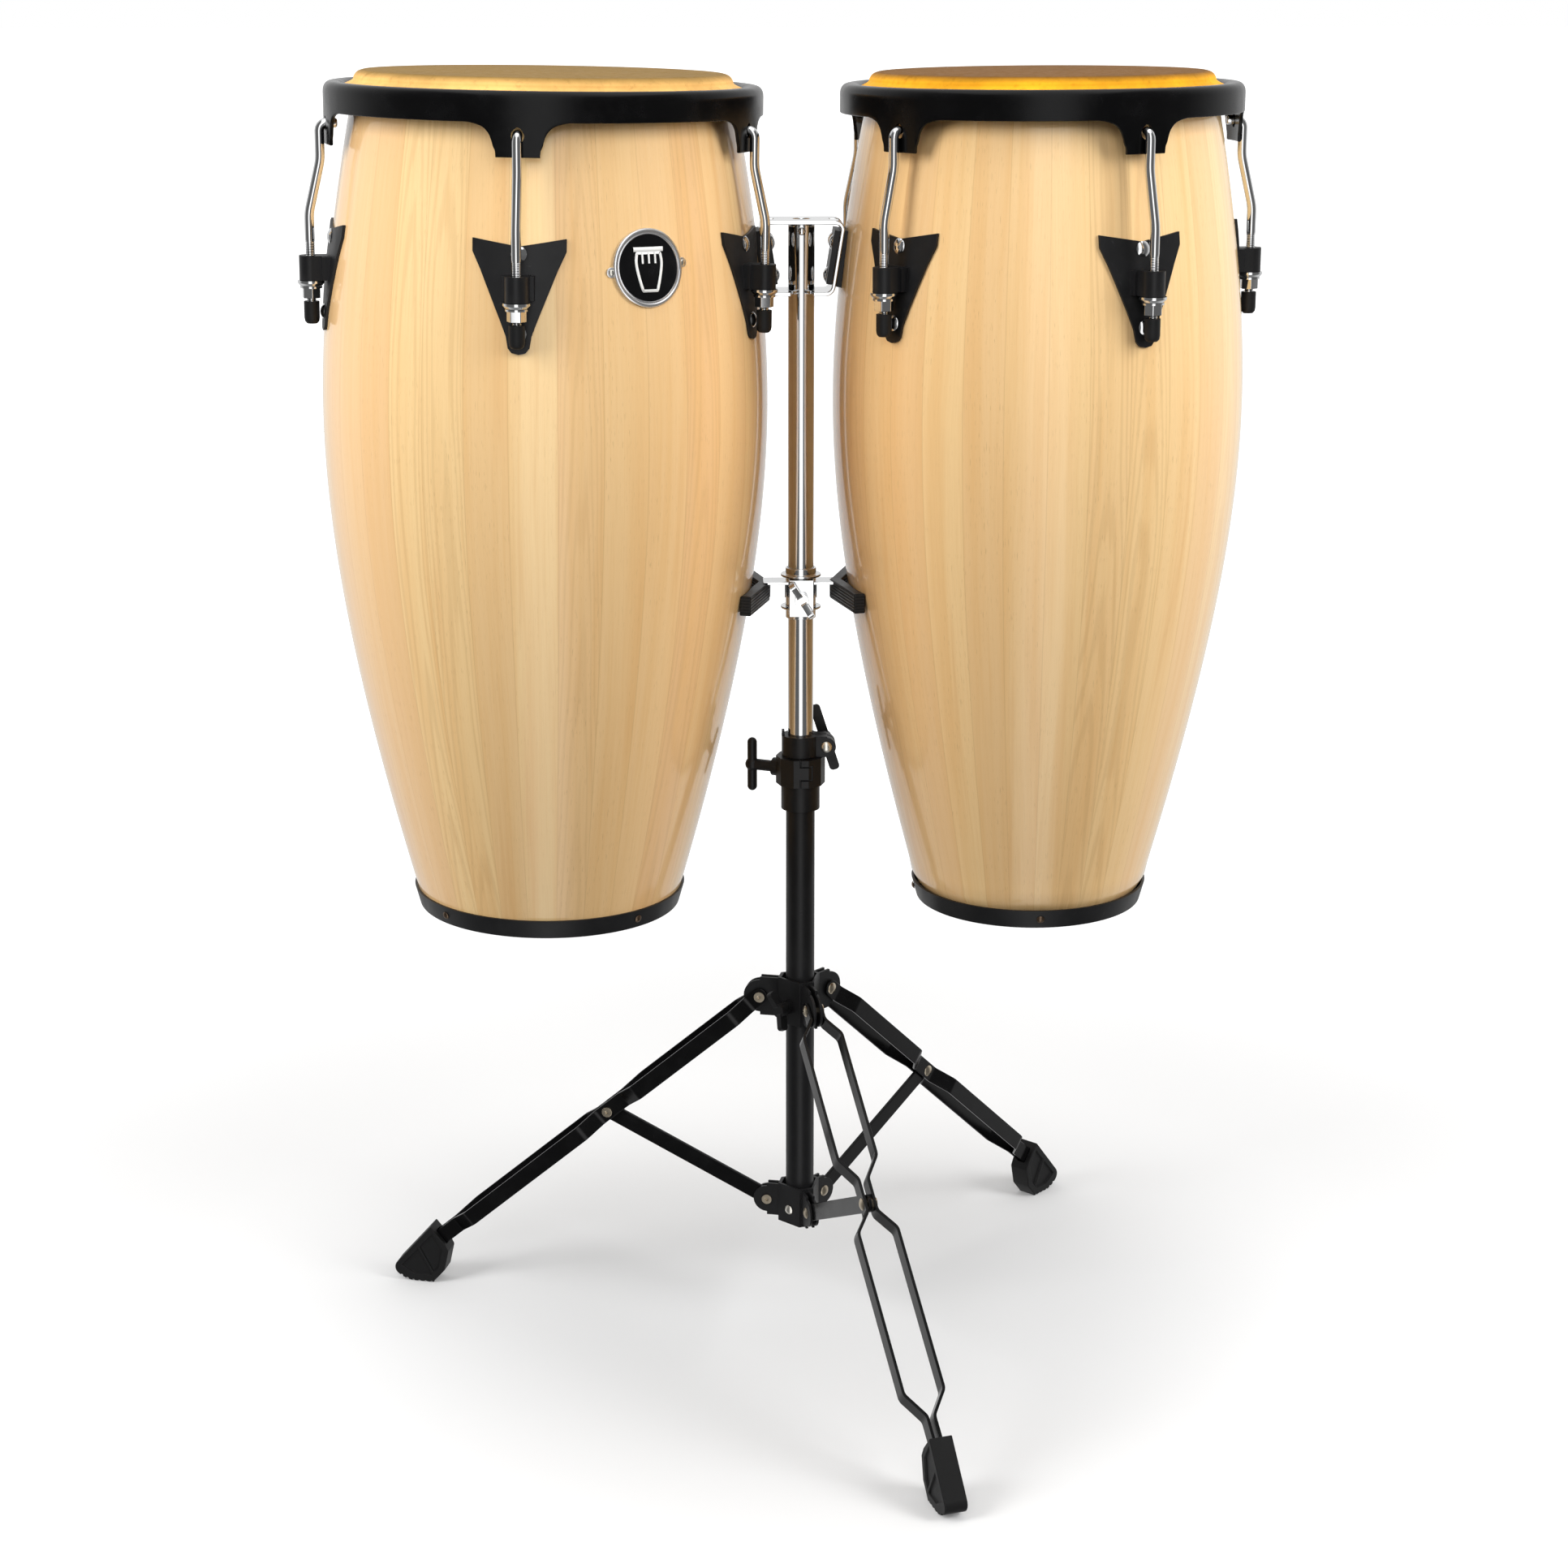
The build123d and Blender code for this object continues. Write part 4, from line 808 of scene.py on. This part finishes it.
# The badge's rings, as (radius, height off the shell) in millimetres
BADGE_RIM = [
    (30.3, 0.1), (30.4, 1.5), (30.1, 2.2), (29.3, 2.75), (28.3, 2.9), (27.6, 2.6), (27.2, 1.9),
    (26.9, 1.8), (26.6, 2.1), (26.0, 2.2), (25.6, 1.7), (25.5, 0.6),
]
BADGE_FIELD = [(25.7, 1.4), (20.0, 1.55), (12.0, 1.65), (5.0, 1.7), (0, 1.7)]
BADGE_TAB = [(3.9, 0.1), (3.9, 0.9), (3.5, 1.25), (0, 1.3)]
BADGE_PIN = [(2.4, 1.3), (2.3, 1.8), (1.7, 2.3), (0.8, 2.5), (0, 2.55)]
BADGE_TABS = {"a": (-31.6, -2.8), "b": (31.6, 2.8)}      # (across, up) from the badge's middle
MOTIF_BARREL = [(6.4, -17.5), (9.6, -6.0), (11.2, 4.0), (10.2, 11.5)]
MOTIF_HOOP = [(across, 14.2) for across in (-13.0, -6.0, 0.0, 6.0, 13.0)]
MOTIF_RODS = (-5.6, 0.0, 5.6)


def make_badge(profile):
    """A badge bent to the shell: silver rim, black enamel field and a plain drum for its motif."""
    place = drum_matrix("left")
    groups = islands("left_badge")
    plate = max(groups, key=lambda group: max(p.z for p in group) - min(p.z for p in group))
    centre = place.inverted() @ middle(plate)
    azimuth, height = azimuth_of(centre), centre.z
    body = BODY_OF["left_badge"]

    def on_shell(across, up, lift):
        radius = along(profile, height + up * MM) + lift * MM
        angle = azimuth + asin(across * MM / radius)
        return (radius * sin(angle), -radius * cos(angle), height + up * MM)

    def disc(name, rings, material, centre_at=(0, 0), nodes=()):
        """A round part of the badge, bent with the shell."""
        columns = 96 if centre_at == (0, 0) else 24
        build = bmesh.new()
        grid = []
        for radius, lift in rings:
            if radius == 0:
                grid.append([build.verts.new(on_shell(*centre_at, lift))])
                continue
            grid.append([
                build.verts.new(on_shell(
                    centre_at[0] + radius * sin(2 * pi * i / columns),
                    centre_at[1] + radius * cos(2 * pi * i / columns), lift,
                )) for i in range(columns)
            ])
        for lower, upper in zip(grid, grid[1:]):
            for i in range(columns):
                k = (i + 1) % columns
                if len(upper) == 1:
                    build.faces.new((lower[i], lower[k], upper[0]))
                else:
                    build.faces.new((lower[i], lower[k], upper[k], upper[i]))
        bmesh.ops.recalc_face_normals(build, faces=build.faces)
        sharpen(piece(name, mesh_of(build), body, material, nodes, place), 42.0)

    disc("left_badge_rim", BADGE_RIM, BADGE_SILVER, nodes=["left_badge"])
    disc("left_badge_field", BADGE_FIELD, BADGE_BLACK)
    for word, at in BADGE_TABS.items():
        disc("left_badge_tab_" + word, BADGE_TAB, BADGE_SILVER, at)
        disc("left_badge_pin_" + word, BADGE_PIN, ZINC, at)

    def ribbon(name, line, wide):
        """A raised line along points on the badge's field."""
        build = bmesh.new()
        rows = []
        closed = line[0] == line[-1]
        dots = [Vector(p) for p in (line[:-1] if closed else line)]
        for i, dot in enumerate(dots):
            before = dots[i - 1] if closed or i else dot
            after = dots[(i + 1) % len(dots)] if closed or i < len(dots) - 1 else dot
            ahead = (after - before).normalized()
            beside = Vector((-ahead.y, ahead.x)) * wide / 2
            row = []
            for share, lift in ((-1, 1.5), (-0.9, 2.0), (0.9, 2.0), (1, 1.5)):
                spot = dot + beside * share
                row.append(build.verts.new(on_shell(spot.x, spot.y, lift)))
            rows.append(row)
        pairs = list(zip(rows, rows[1:])) + ([(rows[-1], rows[0])] if closed else [])
        for one, two in pairs:
            for i in range(3):
                build.faces.new((one[i], one[i + 1], two[i + 1], two[i]))
        bmesh.ops.recalc_face_normals(build, faces=build.faces)
        piece(name, mesh_of(build), body, BADGE_WHITE, (), place)

    barrel = smooth_curve(MOTIF_BARREL, 8)
    outline = barrel + [(-x, z) for x, z in reversed(barrel)]
    ribbon("left_badge_drum", outline + [outline[0]], 2.3)
    ribbon("left_badge_hoop", MOTIF_HOOP, 3.6)
    for number, across in enumerate(MOTIF_RODS):
        ribbon("left_badge_rod_" + str(number), [(across, 12.0), (across, 8.0), (across, 3.4)], 1.7)


for drum in DRUMS:
    to_drum = drum_matrix(drum).inverted()
    spots = [to_drum @ middle(group) for group in islands(drum + "_tuning_nuts")]
    turns = [azimuth_of(spot) for spot in spots]
    lug_r = sum(hypot(spot.x, spot.y) for spot in spots) / len(spots)
    shell_profile = make_shell(drum)
    make_head(drum)
    hoop_r = make_hoop(drum, turns, BODY_OF[drum + "_hoop"])
    make_rods(drum, turns, hoop_r, lug_r, BODY_OF[drum + "_tension_rods"])
    if drum == "left":
        make_badge(shell_profile)

# Pieces whose finish or rounding differs from their slot's: (material, rounding, steps)
SPECIAL = {
    "top_bracket": (CHROME, 1.1, 3), "brace": (CHROME, 0.6, 3), "ring_screws": (AGED, 0.2, 2),
    "brace_pads": (PAD_RUBBER, 1.2, 3), "upper_tube": (CHROME, 0.4, 2),
    "collar_rivets": (BRASSY, 0.25, 2), "hub_rivets": (BRASSY, 0.25, 2),
}
for side_name in ("front", "right", "left"):
    SPECIAL[side_name + "_leg"] = (LEG_STEEL, 0.7, 3)
    SPECIAL[side_name + "_link"] = (LEG_STEEL, 0.6, 3)
    SPECIAL[side_name + "_mid_rivet"] = (BRASSY, 0.25, 2)
    SPECIAL[side_name + "_foot"] = (RUBBER, 0.9, 3)
replaced = {drum + "_" + part for drum in DRUMS for part in ("shell", "head", "hoop", "tension_rods")}
replaced.add("left_badge")
for node_name, node_object in frame["nodes"].items():
    if node_name in replaced:
        continue
    slot_name = node_object.data.materials[0].name.split(".")[0]
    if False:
        node_object.material_slots[0].material = FINISH.get(slot_name, STEEL)
    elif slot_name in FINISH:
        finish, rounding, steps = SPECIAL.get(node_name, (FINISH[slot_name], 0.3, 2))
        refined(node_name, finish, rounding, steps=steps)
    elif slot_name == "skin":
        refined(node_name, SKINS["left"])
    else:
        print("no finish for", node_name, slot_name)


# ---------------------------------------------------------------- floor, light and camera
FLOOR_NEAR = 0.01            # the floor's own glow, painted light: least beside the stand as a painted shadow, more round the feet and most far off
FLOOR_MIDDLE = 0.24
FLOOR_FAR = 0.80
WORLD_FRONT = 0.15           # the surroundings' light, as shares of white
WORLD_BACK = 0.85
WORLD_BELOW = 0.85
STRIP = 1.6
CAMERA_PLACE = (-0.0819, -2.3822, 1.1988)
CAMERA_DOWN = 16.11          # how far the view drops below level, in degrees
CAMERA_ASIDE = -1.622
CAMERA_LENS = 64.74
CAMERA_SENSOR = 36.0


def area_light(name, place, target, wide, tall, power, mirrored=False):
    """A soft box at a place, aimed at a target. Gloss shows it only if it is mirrored."""
    lamp = bpy.data.lights.new(name, "AREA")
    lamp.shape = "RECTANGLE"
    lamp.size, lamp.size_y = wide, tall
    lamp.energy = power
    obj = bpy.data.objects.new(name, lamp)
    bpy.context.scene.collection.objects.link(obj)
    obj.location = place
    obj.rotation_euler = (Vector(target) - Vector(place)).to_track_quat("-Z", "Y").to_euler()
    obj.visible_glossy = mirrored
    return obj


def make_floor():
    """A plain, nearly white floor that the lamps light and that also glows as painted light, least near the
    stand, so a painted shadow lies under it.
    """
    build = bmesh.new()
    bmesh.ops.create_grid(build, x_segments=1, y_segments=1, size=60.0)
    mesh = mesh_of(build)
    floor_object = bpy.data.objects.new("floor", mesh)
    bpy.context.scene.collection.objects.link(floor_object)
    paint = Paint("pale_floor", base=(0.60, 0.60, 0.60), roughness=0.9, specular=0.0)
    paint.shader.inputs["Emission Color"].default_value = (1, 1, 1, 1)
    # Painted shadow: the floor's glow rises with distance from the stand, so the floor is darker under and
    # beside the stand.
    away = paint.node("ShaderNodeVectorMath", {0: paint.place}, operation="LENGTH").outputs["Value"]
    painted_shadow_glow = paint.range(away, 0.15, 0.62, FLOOR_NEAR, FLOOR_MIDDLE)
    painted_far_glow = paint.range(away, 0.6, 2.4, 0.0, FLOOR_FAR)
    painted_floor_glow = paint.math("ADD", painted_shadow_glow, painted_far_glow)
    paint.give(paint.shader.inputs["Emission Strength"], painted_floor_glow)
    mesh.materials.append(paint.material)
    floor_object.location = (0, 0, -0.0004)
    floor_object.visible_diffuse = False
    floor_object.visible_glossy = False


def make_world():
    """White behind, dim in front and greyer below. Gloss also shows an upright strip in front."""
    world = bpy.data.worlds.new("studio")
    bpy.context.scene.world = world
    world.use_nodes = True
    tree = world.node_tree
    back = tree.nodes["Background"]
    place = tree.nodes.new("ShaderNodeTexCoord")
    parts = tree.nodes.new("ShaderNodeSeparateXYZ")
    tree.links.new(place.outputs["Generated"], parts.inputs[0])

    def ramp(value, low, high, start, end):
        """A smooth step from a start to an end, while a value goes from low to high."""
        made = tree.nodes.new("ShaderNodeMapRange")
        made.interpolation_type = "SMOOTHSTEP"
        tree.links.new(value, made.inputs["Value"])
        limits = {"From Min": low, "From Max": high, "To Min": start, "To Max": end}
        for key, limit in limits.items():
            made.inputs[key].default_value = limit
        return made.outputs["Result"]

    def joined(kind, one, two):
        """The sum or product of two sockets."""
        made = tree.nodes.new("ShaderNodeMath")
        made.operation = kind
        tree.links.new(one, made.inputs[0])
        tree.links.new(two, made.inputs[1])
        return made.outputs[0]

    aside = tree.nodes.new("ShaderNodeMath")
    aside.operation = "ABSOLUTE"
    tree.links.new(parts.outputs["X"], aside.inputs[0])
    seen = tree.nodes.new("ShaderNodeLightPath")
    around = joined(
        "MULTIPLY",
        ramp(parts.outputs["Y"], -0.3, 0.45, WORLD_FRONT, WORLD_BACK),
        ramp(parts.outputs["Z"], -0.5, 0.1, WORLD_BELOW, 1.0),
    )
    strip = joined(
        "MULTIPLY",
        ramp(aside.outputs[0], 0.12, 0.34, STRIP, 0.0),
        ramp(parts.outputs["Y"], -0.6, -0.2, 1.0, 0.0),
    )
    total = joined("ADD", around, joined("MULTIPLY", seen.outputs["Is Glossy Ray"], strip))
    pick = tree.nodes.new("ShaderNodeMix")
    tree.links.new(seen.outputs["Is Camera Ray"], pick.inputs["Factor"])
    tree.links.new(total, pick.inputs[2])
    pick.inputs[3].default_value = 1.0
    tree.links.new(pick.outputs[0], back.inputs["Strength"])
    back.inputs["Color"].default_value = (1, 1, 1, 1)


def make_camera():
    """The camera at the photograph's viewing angle."""
    data = bpy.data.cameras.new("camera")
    data.sensor_width = CAMERA_SENSOR
    data.lens = CAMERA_LENS
    camera = bpy.data.objects.new("camera", data)
    bpy.context.scene.collection.objects.link(camera)
    camera.location = CAMERA_PLACE
    camera.rotation_euler = (radians(90 - CAMERA_DOWN), 0, radians(CAMERA_ASIDE))
    bpy.context.scene.camera = camera


make_floor()
make_world()
area_light("left_box", (-2.3, -1.1, 1.9), (-0.15, 0, 0.85), 1.2, 1.9, 70)
area_light("right_box", (2.3, -1.1, 1.9), (0.15, 0, 0.85), 1.2, 1.9, 72)
area_light("front_box", (0.0, -3.0, 2.4), (0, 0, 0.9), 2.8, 1.4, 36)
area_light("top_box", (0.0, -0.3, 3.1), (0, 0, 0.8), 2.4, 1.8, 18, True)
make_camera()

bpy.context.scene.view_settings.view_transform = "Standard"
